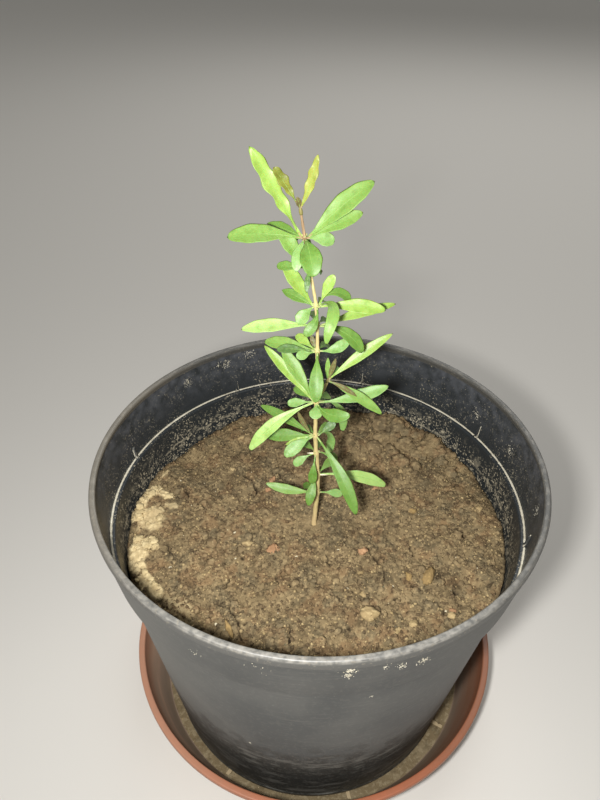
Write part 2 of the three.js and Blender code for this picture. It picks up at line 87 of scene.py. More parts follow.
def srgb(code: str) -> tuple[float, float, float, float]:
    """Turns an sRGB colour linear.

    Args:
        code: the colour as a hex value, such as "#a0b1c2".

    Returns:
        Red, green, blue and full opacity, as Blender's sockets take them.
    """
    parts = [int(code[i : i + 2], 16) / 255 for i in (1, 3, 5)]
    linear = [c / 12.92 if c <= 0.04045 else ((c + 0.055) / 1.055) ** 2.4 for c in parts]
    return (linear[0], linear[1], linear[2], 1.0)


def add_node(
    tree: NodeTree, kind: str, settings: dict | None = None, inputs: dict | None = None
) -> Node:
    """Adds one shader node with its settings and links.

    Args:
        tree: the material's node tree.
        kind: the node's type name.
        settings: the node's own attributes.
        inputs: what each input holds, by name or number: a value, or another node's output to link.

    Returns:
        The new node.
    """
    node = tree.nodes.new(kind)
    for key, value in (settings or {}).items():
        setattr(node, key, value)
    for key, value in (inputs or {}).items():
        if isinstance(value, NodeSocket):
            tree.links.new(value, node.inputs[key])
        else:
            node.inputs[key].default_value = value
    return node


def per_metre(size: float) -> float:
    """Gives the texture scale of a pattern whose features are that many millimetres apart."""
    return 1 / (size * MM)


def smooth_step(low: float, high: float, value: float) -> float:
    """Eases from 0 at low to 1 at high."""
    share = min(1.0, max(0.0, (value - low) / (high - low)))
    return share * share * (3 - 2 * share)


def outwards(angle: float, rise: float = 0) -> Vector:
    """Gives the level direction at an angle in radians, with that much added upwards."""
    return Vector((math.cos(angle), math.sin(angle), rise))


def rounded(profile: Sequence[tuple[float, ...]], steps: int = 5) -> list[Pair]:
    """Rounds the corners of a profile with short curves.

    Args:
        profile: radius, height and, at a corner that is rounded, the length of the rounding on each side.
        steps: points along each rounding.

    Returns:
        The finer profile as radius and height.
    """
    points: list[Pair] = []
    for index, (radius, height, *rounding) in enumerate(profile):
        corner = Vector((radius, height))
        if not rounding:
            points.append((radius, height))
            continue
        before = Vector(profile[index - 1][:2]) - corner
        after = Vector(profile[index + 1][:2]) - corner
        start = corner + before.normalized() * rounding[0]
        end = corner + after.normalized() * rounding[0]
        for step in range(steps + 1):
            share = step / steps
            point = start.lerp(corner, share).lerp(corner.lerp(end, share), share)
            points.append((point.x, point.y))
    return points


def drawn(name: str, rings: Sequence[tuple[Vector, float]], sides: int) -> Object:
    """Draws a closed solid out by hand: a disc is added, and its rim is drawn from ring to ring.

    Args:
        name: the piece's name.
        rings: the middle and the radius of each ring. The last ring is merged to a point.
        sides: sides of each ring.

    Returns:
        The piece, with its place in its mesh.
    """
    select_none()
    (middle, radius), *rest = rings
    bpy.ops.mesh.primitive_circle_add(
        vertices=sides, radius=radius * MM, fill_type="TRIFAN", location=middle * MM
    )
    piece = bpy.context.object
    piece.name = piece.data.name = name
    edit_all()
    bpy.ops.mesh.region_to_loop()
    for point, wider in rest:
        bpy.ops.mesh.extrude_region_move(TRANSFORM_OT_translate={"value": (point - middle) * MM})
        growth = wider / radius
        bpy.ops.transform.resize(value=(growth, growth, 1), center_override=point * MM)
        middle, radius = point, wider
    bpy.ops.mesh.merge(type="CENTER")
    bpy.ops.mesh.select_all(action="SELECT")
    bpy.ops.mesh.normals_make_consistent(inside=False)
    bpy.ops.object.mode_set(mode="OBJECT")
    bpy.ops.object.transform_apply(location=True, rotation=True, scale=True)
    return piece


def turned(name: str, profile: Sequence[Pair], segments: int) -> Object:
    """Turns a closed solid about the axis from its radii and heights, which end beside the axis."""
    return drawn(name, [(Vector((0, 0, height)), radius) for radius, height in profile], segments)


def bevelled_bar(size: Sequence[float], bevel: float) -> Object:
    """Models a bar about the origin: a cube is scaled, and all its edges are bevelled.

    Args:
        size: its length, width and height.
        bevel: how far the bevel reaches from each edge.

    Returns:
        The bar.
    """
    select_none()
    bpy.ops.mesh.primitive_cube_add(size=1)
    bar = bpy.context.object
    bar.scale = Vector(size) * MM
    bpy.ops.object.transform_apply(location=True, rotation=True, scale=True)
    edit_all()
    bpy.ops.mesh.bevel(offset=bevel * MM, segments=2, affect="EDGES")
    bpy.ops.object.mode_set(mode="OBJECT")
    return bar


def smooth(piece: Object, degrees: float = 35) -> None:
    """Shades a piece smooth, with its sharper edges kept crisp.

    Args:
        piece: the piece.
        degrees: the least angle of an edge that stays crisp.
    """
    select_none()
    piece.select_set(True)
    bpy.context.view_layer.objects.active = piece
    bpy.ops.object.shade_smooth_by_angle(angle=math.radians(degrees))


def join(pieces: Sequence[Object], name: str) -> Object:
    """Joins objects into one piece.

    Args:
        pieces: the objects, of which the first one stays.
        name: the piece's name.

    Returns:
        The piece.
    """
    select_none()
    for piece in pieces:
        piece.select_set(True)
    bpy.context.view_layer.objects.active = pieces[0]
    bpy.ops.object.join()
    pieces[0].name = pieces[0].data.name = name
    return pieces[0]


def dress(piece: Object, finishes: Sequence[Finish], chooser: Callable | None = None) -> None:
    """Gives a piece its finishes.

    Args:
        piece: the piece to dress.
        finishes: one finish, or one for each slot that its faces already have or that the chooser deals out.
        chooser: takes a face's middle in millimetres and its normal, and says which finish it gets.
    """
    for finish in finishes:
        piece.data.materials.append(finish.material())
    if chooser is not None:
        for face in piece.data.polygons:
            face.material_index = chooser(face.center / MM, face.normal)


def hand_over(piece: Object, slot: str, *nodes: str) -> None:
    """Lets a piece ride the part, and reports it.

    Args:
        piece: the finished piece.
        slot: the material slot that it belongs to.
        nodes: the CAD nodes that it replaces.
    """
    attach(piece, ROOT)
    if nodes:
        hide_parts(*nodes)
    triangles = sum(len(face.vertices) - 2 for face in piece.data.polygons)
    LOG.info("%s: %d triangles, slot %s", piece.name, triangles, slot)


@dataclass
class Heap:
    """Many small shapes that become one joined mesh.

    Attributes:
        corners: all points, in millimetres.
        faces: corner numbers of each face.
        slots: the material slot of each face.
    """

    corners: list[Vector] = field(default_factory=list)
    faces: Faces = field(default_factory=list)
    slots: list[int] = field(default_factory=list)

    def add(self, corners: Iterable[Vector], faces: Faces, slots: Iterable[int]) -> None:
        """Adds one shape.

        Args:
            corners: its points.
            faces: its faces, as numbers of those points.
            slots: the material slot of each face.
        """
        first = len(self.corners)
        self.corners.extend(corners)
        self.faces.extend(tuple(first + index for index in face) for face in faces)
        self.slots.extend(slots)

    def add_rings(self, rings: Sequence[Sequence[Vector]]) -> None:
        """Adds a closed tube through rings of points.

        Args:
            rings: the sections, which all have the same count, each in order round the tube's way.
        """
        sides = len(rings[0])
        faces: Faces = [tuple(reversed(range(sides)))]
        for row in range(len(rings) - 1):
            for side in range(sides):
                low = row * sides + side
                next_low = row * sides + (side + 1) % sides
                faces.append((low, next_low, next_low + sides, low + sides))
        last = (len(rings) - 1) * sides
        faces.append(tuple(range(last, last + sides)))
        self.add([corner for ring in rings for corner in ring], faces, [0] * len(faces))

    def add_fleck(self, foot: Vector, normal: Vector, size: float, rise: float, rng: random.Random) -> None:
        """Adds a flat, uneven fleck or crumb that lies on a surface.

        Args:
            foot: the place on the surface.
            normal: the surface's direction there.
            size: how wide the fleck is.
            rise: how high it stands.
            rng: the seeded source of its outline.
        """
        across = normal.orthogonal().normalized()
        other = normal.cross(across)
        start = rng.uniform(0, 6.28)
        corners = [foot - normal * 0.15]
        for height, width in ((0.25, 0.5), (0.75, 0.36)):
            for step in range(6):
                turn = start + math.pi * step / 3
                reach = size * width * rng.uniform(0.6, 1.2)
                out = (across * math.cos(turn) + other * math.sin(turn)) * reach
                corners.append(foot + out + normal * rise * height)
        corners.append(foot + normal * rise)
        low = [(0, 1 + (step + 1) % 6, 1 + step) for step in range(6)]
        sides = [(1 + step, 1 + (step + 1) % 6, 7 + (step + 1) % 6, 7 + step) for step in range(6)]
        top = [(7 + step, 7 + (step + 1) % 6, 13) for step in range(6)]
        self.add(corners, [*low, *sides, *top], [0] * 18)

    def piece(self, name: str, *finishes: Finish) -> Object:
        """Makes the joined piece, smooth-shaded and dressed, with its place in its mesh.

        Args:
            name: the piece's name.
            finishes: the finish of each material slot.

        Returns:
            The piece.
        """
        mesh = bpy.data.meshes.new(name)
        mesh.from_pydata([tuple(corner * MM) for corner in self.corners], [], self.faces)
        mesh.polygons.foreach_set("material_index", self.slots)
        mesh.polygons.foreach_set("use_smooth", [True] * len(self.faces))
        mesh.update()
        made = bpy.data.objects.new(name, mesh)
        bpy.context.scene.collection.objects.link(made)
        dress(made, finishes)
        return made


def ring_round(centre: Vector, along: Vector, radius: float, sides: int) -> list[Vector]:
    """Gives a circle of points.

    Args:
        centre: its middle.
        along: the direction that it is square to.
        radius: its radius.
        sides: how many points it has.

    Returns:
        The points.
    """
    side = Vector((0, 1, 0)).cross(along).normalized()
    up = along.cross(side).normalized()
    turns = (2 * math.pi * index / sides for index in range(sides))
    return [centre + side * (radius * math.cos(turn)) + up * (radius * math.sin(turn)) for turn in turns]


# Finishes


@dataclass(frozen=True)
class Coat:
    """A material while it is painted: its nodes, and the coordinates that its patterns read.

    Attributes:
        tree: the material's node tree.
        shader: its main shader.
        place: the output that gives the coordinates.
    """

    tree: NodeTree
    shader: Node
    place: NodeSocket

    def elsewhere(self, shift: float = 0, scale: Triple = (1, 1, 1)) -> Coat:
        """Reads the noise at another place, where it gives another pattern.

        Args:
            shift: how far the coordinates move along each axis, in metres.
            scale: how they shrink along each axis, which draws the pattern out.

        Returns:
            The same material with those coordinates.
        """
        inputs = {"Vector": self.place, "Location": (shift,) * 3, "Scale": scale}
        return replace(self, place=add_node(self.tree, "ShaderNodeMapping", inputs=inputs).outputs["Vector"])

    def eased(self, value: NodeSocket, low: float, high: float) -> NodeSocket:
        """Builds a mask that eases from 0 where a value is low to 1 where it is high.

        Args:
            value: the value's output.
            low: the value where the mask is 0.
            high: the value where it is 1.

        Returns:
            The mask's output.
        """
        ease = {"interpolation_type": "SMOOTHSTEP"}
        inputs = {"Value": value, "From Min": low, "From Max": high}
        return add_node(self.tree, "ShaderNodeMapRange", ease, inputs).outputs["Result"]

    def speckle(self, size: float, low: float, high: float, detail: float = 4) -> NodeSocket:
        """Builds a mask of soft-edged spots.

        Args:
            size: distance between spots, in millimetres.
            low: noise value below which there is no spot.
            high: noise value above which the spot is full.
            detail: how many finer layers the noise has.

        Returns:
            An output that is 0 between the spots and 1 on them.
        """
        inputs = {"Vector": self.place, "Scale": per_metre(size), "Detail": detail}
        return self.eased(add_node(self.tree, "ShaderNodeTexNoise", inputs=inputs).outputs["Fac"], low, high)

    def band(self, low: float, high: float, axis: str = "Z", waver: float = 0) -> NodeSocket:
        """Builds a mask that rises from 0 at one place along an axis to 1 at another.

        Args:
            low: where the mask is 0, in millimetres along the axis.
            high: where it is 1, above or below the first.
            axis: the axis, which is upright unless it is named.
            waver: how far the mask's border wanders, in millimetres.

        Returns:
            The mask's output.
        """
        along = add_node(self.tree, "ShaderNodeSeparateXYZ", inputs={0: self.place}).outputs[axis]
        if waver:
            inputs = {"Vector": self.place, "Scale": per_metre(15), "Detail": 6}
            cloud = add_node(self.tree, "ShaderNodeTexNoise", inputs=inputs).outputs["Fac"]
            inputs = {0: cloud, 1: 4 * waver * MM, 2: along}
            along = add_node(self.tree, "ShaderNodeMath", {"operation": "MULTIPLY_ADD"}, inputs).outputs[0]
            low, high = low + 2 * waver, high + 2 * waver
        return self.eased(along, low * MM, high * MM)

    def overlap(self, mask: object, *others: object) -> object:
        """Multiplies masks and strengths.

        Args:
            mask: the first mask.
            others: the other masks and strengths.

        Returns:
            The mask that is full only where they all are.
        """
        for other in others:
            node = add_node(self.tree, "ShaderNodeMath", {"operation": "MULTIPLY"}, {0: mask, 1: other})
            mask = node.outputs[0]
        return mask

    def layered(self, colour: object, *layers: tuple, mode: str = "MIX") -> object:
        """Lays colours over one another, in order.

        Args:
            colour: the lowest colour, as an sRGB hex value or an output.
            layers: for each layer its colour, and the masks and strengths whose overlap it covers.
            mode: how the layers mix with what lies under them.

        Returns:
            The output of the mixed colour.
        """
        for over, *masks in layers:
            under, over = (srgb(code) if isinstance(code, str) else code for code in (colour, over))
            inputs = {0: self.overlap(*masks), 6: under, 7: over}
            node = add_node(self.tree, "ShaderNodeMix", {"data_type": "RGBA", "blend_type": mode}, inputs)
            colour = node.outputs[2]
        return colour

    def show(self, colour: object, height: NodeSocket, depth: float, strength: float) -> None:
        """Gives the shader its colour and its fine relief.

        Args:
            colour: the output of the colour.
            height: the mask that the relief rises with.
            depth: the relief's full depth, in millimetres.
            strength: how strongly it shows.
        """
        inputs = {"Height": height, "Distance": depth * MM, "Strength": strength}
        bump = add_node(self.tree, "ShaderNodeBump", inputs=inputs)
        self.tree.links.new(bump.outputs["Normal"], self.shader.inputs["Normal"])
        self.tree.links.new(colour, self.shader.inputs["Base Color"])


@dataclass(frozen=True)
class Finish:
    """A plain surface, which each kind of finish builds on.

    Attributes:
        name: what the real material is called.
        colour: its main colour, in sRGB.
        roughness: 0 is glossy and 1 is matt.
    """

    name: str
    colour: str
    roughness: float

    def material(self) -> Material:
        """Makes the material once.

        Returns:
            The material, which is the same one for each further piece.
        """
        known = bpy.data.materials.get(self.name)
        if known is not None:
            return known
        made = bpy.data.materials.new(self.name)
        made.use_nodes = True
        tree = made.node_tree
        shader = tree.nodes["Principled BSDF"]
        shader.inputs["Base Color"].default_value = srgb(self.colour)
        shader.inputs["Roughness"].default_value = self.roughness
        self.paint(Coat(tree, shader, add_node(tree, "ShaderNodeTexCoord").outputs["Object"]))
        return made

    def paint(self, coat: Coat) -> None:
        """Adds the finish's own pattern. A plain surface has none."""


@dataclass(frozen=True)
class WallPolypropylene(Finish):
    """Moulded black polypropylene, satin and grey with dust, with fine scuffs that run round the wall, and
    with painted light and shade: a sheen on its left, and shade on its right and low down.

    Attributes:
        dust: colour of the dust film, which also paints the sheen on the wall's left side.
        dark: colour of the darker collar and the stains, which also paints the shade on the wall's right side
            and low down.
        film: heights where the painted shade low on the wall is deepest and where it ends.
        ledge: height above which the wall is the wider collar.
        foot: height of the step near the foot.
    """

    dust: str
    dark: str
    film: Pair
    ledge: float
    foot: float

    def paint(self, coat: Coat) -> None:
        """Lays a thin film of dust over the plastic, with scuffs, stains and pale specks, and paints a sheen
        on the left and shade on the right and low down.

        Args:
            coat: the material that it is painted on.
        """
        shade_deepest, full = self.film
        scuffs = coat.elsewhere(scale=(0.05, 0.05, 1)).speckle(1.1, 0.46, 0.76, 5)
        # The lower wall, which is painted darker: painted shade, as the light falls off towards the foot.
        low_shade = coat.band(full, shade_deepest, waver=15)
        smears = coat.overlap(coat.elsewhere(0.4, (0.3, 0.3, 1)).speckle(5, 0.5, 0.66, 8), low_shade)
        stains = coat.elsewhere(1.1).speckle(11, 0.54, 0.6, 9)
        grime = coat.elsewhere(2.3).speckle(2.4, 0.5, 0.68, 6)
        step = coat.band(self.foot, self.foot + 0.3), coat.band(self.foot + 1.3, self.foot + 1)
        shade = coat.layered(
            self.colour,
            (self.dust, coat.speckle(40, 0.35, 0.7), 0.25),
            (self.dark, coat.band(self.ledge - 3, self.ledge), 0.18),
            # Painted sheen: the wall's left side is lighter, where the light falls on it.
            (self.dust, coat.band(-30, -115, "X"), 0.6),
            # Painted shade: the wall's right side is darker, turned from the light.
            (self.dark, coat.band(10, 125, "X"), 0.65),
            (self.dust, grime, 0.16),
            # Painted shade: the wall darkens low down.
            (self.dark, low_shade, 0.85),
            (self.dark, stains, coat.band(full + 30, shade_deepest, waver=8), 0.85),
            (self.dust, smears, 0.55),
            (self.dust, grime, low_shade, 0.3),
            (self.dust, scuffs, coat.speckle(24, 0.42, 0.62), 0.3),
            (self.dust, coat.speckle(1.5, 0.7, 0.74, 2), 0.5),
            (self.dust, *step, smears, 0.8),
        )
        coat.show(shade, scuffs, 0.04, 0.2)


@dataclass(frozen=True)
class InnerPolypropylene(Finish):
    """The pot's inside: darker satin polypropylene, lighter near the rim with dust and painted sheen, with
    dried soil splashes.

    Attributes:
        sheen_and_dust: colour of the dust that settles near the rim, which also paints the sheen there.
        splash: colour of dried soil water.
        soil_level: height that the splashes come from.
        ledge: height of the stacking ledge.
        rim: height of the rim.
    """

    sheen_and_dust: str
    splash: str
    soil_level: float
    ledge: float
    rim: float

    def paint(self, coat: Coat) -> None:
        """Lightens the upper wall with dust and painted sheen, and speckles it with splashes that grow dense
        at the soil.

        A pale tide line runs a few millimetres over the soil, broken into stretches.

        Args:
            coat: the material that it is painted on.
        """
        # The upper wall, lighter with dust and painted sheen.
        sheen_and_dust = coat.band(self.ledge - 4, self.rim)
        patches = coat.speckle(19, 0.38, 0.56)
        fine = coat.speckle(1.3, 0.59, 0.65, 3)
        coarse = coat.elsewhere(0.9).speckle(2.3, 0.6, 0.64, 5)
        film = coat.elsewhere(1.7).speckle(4.5, 0.5, 0.68, 8)
        level = self.soil_level + 4
        near_soil = coat.band(self.ledge + 1, level, waver=3)
        tide = coat.band(level - 0.7, level, waver=2), coat.band(level + 1.2, level + 0.5, waver=2)
        shade = coat.layered(
            self.colour,
            # Dust and painted sheen near the rim.
            (self.sheen_and_dust, sheen_and_dust, coat.speckle(6, 0.2, 0.85, 8), 0.75),
            (self.splash, film, near_soil, 0.36),
            (self.splash, fine, near_soil, 0.85),
            (self.splash, coarse, patches, near_soil, 0.95),
            (self.splash, fine, patches, coat.band(self.rim, self.ledge), 0.6),
            (self.splash, coat.speckle(2, 0.68, 0.72, 3), sheen_and_dust, 0.5),
            (self.splash, *tide, coat.speckle(6, 0.42, 0.6, 7), 0.5),
        )
        coat.show(shade, coarse, 0.12, 0.3)


@dataclass(frozen=True)
class WornRim(Finish):
    """The rim's polypropylene, rubbed grey by handling, paler on the top of its front with wear and painted
    highlight, and lighter and browner at its left.

    Attributes:
        rubbed: colour of the fine streaks that run round it.
        wear_and_highlight: colour of the pale top of its front: wear, with painted highlight.
        dirt: colour of the soil in its scratches, which also makes the rim lighter and browner at its left.
        top: height of the rim.
    """

    rubbed: str
    wear_and_highlight: str
    dirt: str
    top: float

    def paint(self, coat: Coat) -> None:
        """Streaks the rim's top, pales the top of its front with wear and painted highlight, and leaves earth
        in its scratches.

        Args:
            coat: the material that it is painted on.
        """
        streaks = coat.elsewhere(scale=(0.1, 0.1, 1.6)).speckle(0.7, 0.4, 0.75, 7)
        upper = coat.band(self.top - 2.2, self.top - 1)
        shade = coat.layered(
            self.colour,
            (self.rubbed, streaks, upper, 0.5),
            # Wear and painted highlight: the top of the front is paler, where the light catches it.
            (self.wear_and_highlight, coat.band(-50, -125, "Y"), coat.speckle(3, 0.3, 0.72, 9), upper, 0.5),
            (self.dirt, coat.speckle(1.6, 0.58, 0.66), 0.35),
            # The rim is lighter and browner towards its left.
            (self.dirt, coat.band(-75, -125, "X"), 0.4),
        )
        coat.show(shade, streaks, 0.06, 0.35)


@dataclass(frozen=True)
class SaucerPolypropylene(Finish):
    """Moulded terracotta-coloured polypropylene, satin, clean on its lip and dull with dried mud below, with
    painted shade on its right and painted light, with dust, on its left.

    Attributes:
        mud: colour of the dried mud film, which also paints the shade on its right side.
        silt: colour of the paler, greyer silt low on the wall.
        dust: colour laid on its left side: painted light, with dust.
        film: heights where the film is full and where it ends.
    """

    mud: str
    silt: str
    dust: str
    film: Pair

    def paint(self, coat: Coat) -> None:
        """Dulls the inner wall with mud in level bands, mottles the plastic a little, and paints shade on its
        right and light with dust on its left.

        Args:
            coat: the material that it is painted on.
        """
        full, end = self.film
        mottle = coat.speckle(7, 0.35, 0.75, 6)
        depth = coat.band(end, full + 14, waver=1.5)
        # The left side, painted lighter: painted light, with dust.
        lit_dusty_left = coat.band(10, -120, "X")
        shade = coat.layered(
            self.colour,
            (self.mud, mottle, 0.22),
            (self.mud, depth, 0.8),
            # Painted shade: the right side is darker.
            (self.mud, coat.band(40, 125, "X"), 0.55),
            (self.dust, lit_dusty_left, depth, 0.9),
            (self.dust, lit_dusty_left, 0.4),
            (self.silt, coat.band(full + 16, full, waver=1.5), 0.55),
            (self.silt, depth, coat.elsewhere(scale=(0.08, 0.08, 1)).speckle(5, 0.36, 0.64, 5), 0.35),
        )
        coat.show(shade, mottle, 0.05, 0.3)


@dataclass(frozen=True)
class Loam(Finish):
    """Dry, crumbly loam: matt, grainy and uneven in tone, so it scatters light and keeps dark hollows.

    Attributes:
        pale: colour of its driest grains.
        damp_and_shade: colour of its darker patches, dark grains and hair cracks, and of the painted shade in
            the bed's hollows.
        grain: size of the grains in millimetres, drawn a little coarser than they are, so that they show.
        crust: on the bed, the colours of the dried clay and of its lightest spots. The bed's mesh has the
            attribute "hollow", which is 1 down in a crack, and "crust", which is 1 on the dried clay.
        patches: the colours of its greyer and its redder patches, which bed and crumbs share.
    """

    pale: str
    damp_and_shade: str
    grain: float
    crust: tuple[str, str] | None = None
    patches: tuple[str, str] | None = None

    def paint(self, coat: Coat) -> None:
        """Mixes grains, drier patches and dark pits, paints shade into the bed's hollows, and gives the
        surface its grainy relief.

        Args:
            coat: the material that it is painted on.
        """
        other, third = coat.elsewhere(0.7), coat.elsewhere(1.9)
        inputs = {"Vector": coat.place, "Scale": per_metre(self.grain), "Detail": 5, "Roughness": 0.7}
        grains = add_node(coat.tree, "ShaderNodeTexNoise", inputs=inputs).outputs["Fac"]
        shade = coat.layered(self.colour, (self.pale, coat.speckle(20, 0.4, 0.66), 0.3))
        if self.patches is not None:
            grey, red = self.patches
            shade = coat.layered(
                shade,
                (grey, other.speckle(15, 0.48, 0.62), 0.75),
                (red, third.speckle(12, 0.5, 0.62), 0.6),
                (self.damp_and_shade, third.speckle(21, 0.5, 0.66, 6), 0.3),
            )
        shade = coat.layered(
            shade,
            (self.pale, other.speckle(self.grain * 2.4, 0.51, 0.61, 8), 0.5),
            (self.damp_and_shade, coat.speckle(self.grain * 5, 0.47, 0.36, 9), 0.4),
        )
        if self.crust is not None:
            dried, deep = (
                add_node(coat.tree, "ShaderNodeAttribute", {"attribute_name": name}).outputs["Fac"]
                for name in ("crust", "hollow")
            )
            clay = coat.layered(
                self.crust[0],
                (self.crust[1], other.speckle(3.2, 0.44, 0.62, 5), 0.8),
                (self.pale, third.speckle(2.6, 0.46, 0.32, 5), 0.6),
            )
            cracks = self.hair_cracks(coat)
            # Painted shade: the bed darkens in its hollows, down in cracks and pits, in dips and along the
            # wall.
            shade = coat.layered(shade, (clay, dried), (self.damp_and_shade, cracks, 0.55), (self.damp_and_shade, deep))
        shade = coat.layered(shade, (self.pale, third.speckle(self.grain * 1.3, 0.66, 0.7, 3), 0.75))
        coat.shader.inputs["Specular IOR Level"].default_value = 0.15
        coat.show(shade, grains, 0.8, 0.7)

    def hair_cracks(self, coat: Coat) -> object:
        """Builds a mask of short hair cracks: the edges of warped cells, broken into stretches by noise.

        Args:
            coat: the material.

        Returns:
            The mask's output.
        """
        bend = add_node(coat.tree, "ShaderNodeTexNoise", inputs={"Vector": coat.place, "Scale": per_metre(5)})
        inputs = {0: bend.outputs["Color"], 1: (7 * MM,) * 3, 2: coat.place}
        warp = add_node(coat.tree, "ShaderNodeVectorMath", {"operation": "MULTIPLY_ADD"}, inputs)
        inputs = {"Vector": warp.outputs[0], "Scale": per_metre(9)}
        cells = add_node(coat.tree, "ShaderNodeTexVoronoi", {"feature": "DISTANCE_TO_EDGE"}, inputs)
        line = coat.eased(cells.outputs["Distance"], 0.05, 0.012)
        return coat.overlap(line, coat.elsewhere(3.3).speckle(6, 0.55, 0.62, 3))


@dataclass(frozen=True)
class YoungBark(Finish):
    """Smooth young bark: cream to tan, pinker and greener towards the tip, browner at the foot.

    Attributes:
        foot: colour near the soil.
        tip: colour near the tip.
        span: heights of the soil and of the tip.
    """

    foot: str
    tip: str
    span: Pair

    def paint(self, coat: Coat) -> None:
        """Shades the bark along the stem, with fine lengthwise fibres and darker flecks.

        Args:
            coat: the material that it is painted on.
        """
        low, high = self.span
        fibres = coat.elsewhere(scale=(1, 1, 0.12)).speckle(0.7, 0.45, 0.7)
        shade = coat.layered(
            self.colour,
            (self.foot, coat.band(low + 24, low), 0.7),
            (self.tip, coat.band(high - 24, high - 12)),
            (self.foot, fibres, 0.3),
            (self.foot, coat.speckle(2.6, 0.56, 0.68), 0.45),
        )
        coat.show(shade, fibres, 0.15, 0.5)


@dataclass(frozen=True)
class LeafSkin(Finish):
    """A goji leaf's skin: soft satin, slightly translucent, with faint mottling between its veins.

    Attributes:
        mottle: colour of the paler mottling.
        blotch: what the darker blotches multiply the colour by.
        glow: share of light that passes through the thin blade.
        gloss: specular level of the satin skin.
    """

    mottle: str
    blotch: str = "#a5b27c"
    glow: float = 0.12
    gloss: float = 0.38

    def paint(self, coat: Coat) -> None:
        """Mottles the skin and gives it shallow relief.

        Args:
            coat: the material that it is painted on.
        """
        cells = coat.speckle(2, 0.3, 0.75)
        patches = coat.speckle(5.5, 0.35, 0.7)
        shade = coat.layered(self.colour, (self.mottle, patches, 0.6), (self.mottle, cells, 0.3))
        blotches = coat.elsewhere(0.9).speckle(3.4, 0.5, 0.68)
        shade = coat.layered(shade, (self.blotch, blotches, 0.3), mode="MULTIPLY")
        coat.shader.inputs["Subsurface Weight"].default_value = self.glow
        coat.shader.inputs["Subsurface Scale"].default_value = 1.2 * MM
        coat.shader.inputs["Specular IOR Level"].default_value = self.gloss
        coat.show(shade, cells, 0.15, 0.3)


# Painted light and shade on the outer wall: its dust colour also paints the sheen on the left, and its dark
# colour the shade on the right and low down.
POT_OUTSIDE = WallPolypropylene(
    "Dusty black polypropylene", "#414342", 0.5, "#7a7871", "#2f2f2b", (68, 84), LEDGE, 10.2
)
# Near its rim the inner wall is lighter with dust and painted sheen.
POT_INSIDE = InnerPolypropylene(
    "Splashed black polypropylene", "#25292b", 0.42, "#63656a", "#b0a68e", SOIL_LEVEL, LEDGE, RIM
)
# The rim's pale front colour is wear with painted highlight.
POT_RIM = WornRim("Rubbed black polypropylene", "#54534f", 0.45, "#8f8b83", "#a29d93", "#8d8474", RIM)
POT_BASE = Finish("Black polypropylene", "#202224", 0.5)
DRIED_LIME = Loam("Dried lime and dust", "#c9c1ab", 0.9, "#dcd6c4", "#8d836c", 0.9)
# Painted light and shade on the saucer: its mud colour also paints the shade on its right, and its dust
# colour the light on its left.
SAUCER_SKIN = SaucerPolypropylene(
    "Terracotta polypropylene", "#a46244", 0.45, "#7a5842", "#84786a", "#c4a187", (10, 40)
)
SAUCER_RIBS = Finish("Dusty terracotta polypropylene", "#a3906f", 0.8)
SAUCER_MUD = Loam("Dried saucer mud", "#75664c", 0.95, "#988a6e", "#4c4231", 1.1)
# The bed's darkest colour also paints the shade in its hollows.
SOIL_BED = Loam(
    "Dry loam bed", "#7b6a4d", 0.95, "#a38e69", "#2e251a", 1.1, ("#bda87e", "#e2cd9e"), ("#6d6149", "#84694a")
)
SOIL_CRUMB = Loam("Dry loam crumbs", "#806e51", 0.95, "#a6916b", "#463828", 1.1, None, ("#72664e", "#886d4e"))
SOIL_DARK = Loam("Damp loam crumbs", "#64543e", 0.95, "#7d6b4f", "#33291c", 1.1, None, ("#584d3a", "#69543d"))
SOIL_PALE = Loam("Pale loam crumbs", "#a18b64", 0.95, "#c8b284", "#70603f", 1.1)
SOIL_CREAM = Loam("Dry clay clods", "#baa67c", 0.95, "#dfcc9e", "#8f7b55", 1.4)
SOIL_OCHRE = Loam("Ochre clay bits", "#8f774f", 0.9, "#af925f", "#715733", 1.2)
SOIL_CHIP = Loam("Broken clay chips", "#a67f5d", 0.85, "#c49d76", "#7d6045", 1.2)
SOIL_GRIT = Finish("White grit", "#cdc2a3", 0.7)
STEM_BARK = YoungBark("Young goji bark", "#c6b57b", 0.6, "#d3b687", "#8f7455", (SOIL_LEVEL, 360))
PETIOLE = Finish("Cream leaf stalk", "#a8b070", 0.5)
PINK_PETIOLE = Finish("Tan leaf stalk", "#97805c", 0.5)
TIP_BUD = Finish("Olive bud", "#7c7440", 0.55)
MIDRIB = Finish("Pale leaf midrib", "#7d9f4c", 0.5)
THORN_WOOD = Finish("Pale thorn", "#ece2c0", 0.45)
UNDERSIDE = LeafSkin("Leaf underside", "#728f5a", 0.6, "#83a06c")
PALE_UNDERSIDE = LeafSkin("Young leaf underside", "#7c7b3f", 0.6, "#8b884c")


class Tint(Enum):
    """Colours of the leaves, dealt out leaf by leaf, partly as painted light: SUNLIT, LUCID and BRIGHT are
    lighter greens for leaves that face the light, and SHADE_GREEN is a darker green for leaves in shade.
    """

    # Painted light: SUNLIT, LUCID and BRIGHT stand for leaves that face the light.
    SUNLIT = LeafSkin("Sunlit goji leaf", "#84a343", 0.42, "#96b058")
    LUCID = LeafSkin("Lucid goji leaf", "#93b25f", 0.42, "#a6c274")
    BRIGHT = LeafSkin("Bright goji leaf", "#709241", 0.46, "#7fa04e")
    MID = LeafSkin("Mid-green goji leaf", "#5d8131", 0.46, "#6c8f42")
    PALE = LeafSkin("Grey-green goji leaf", "#74984f", 0.46, "#8bab66")
    # Painted shade: this darker tint stands for leaves in shade.
    SHADE_GREEN = LeafSkin("Deep green goji leaf", "#4d6b33", 0.46, "#5d7b42")
    YOUNG = LeafSkin("Olive-yellow young goji leaf", "#8b923c", 0.46, "#9ca24e")
    DUSKY = LeafSkin("Dusky young goji leaf", "#70762a", 0.46, "#868a3a")
    TAWNY = LeafSkin("Tawny young goji leaf", "#625a34", 0.55, "#736b42")


# Saucer


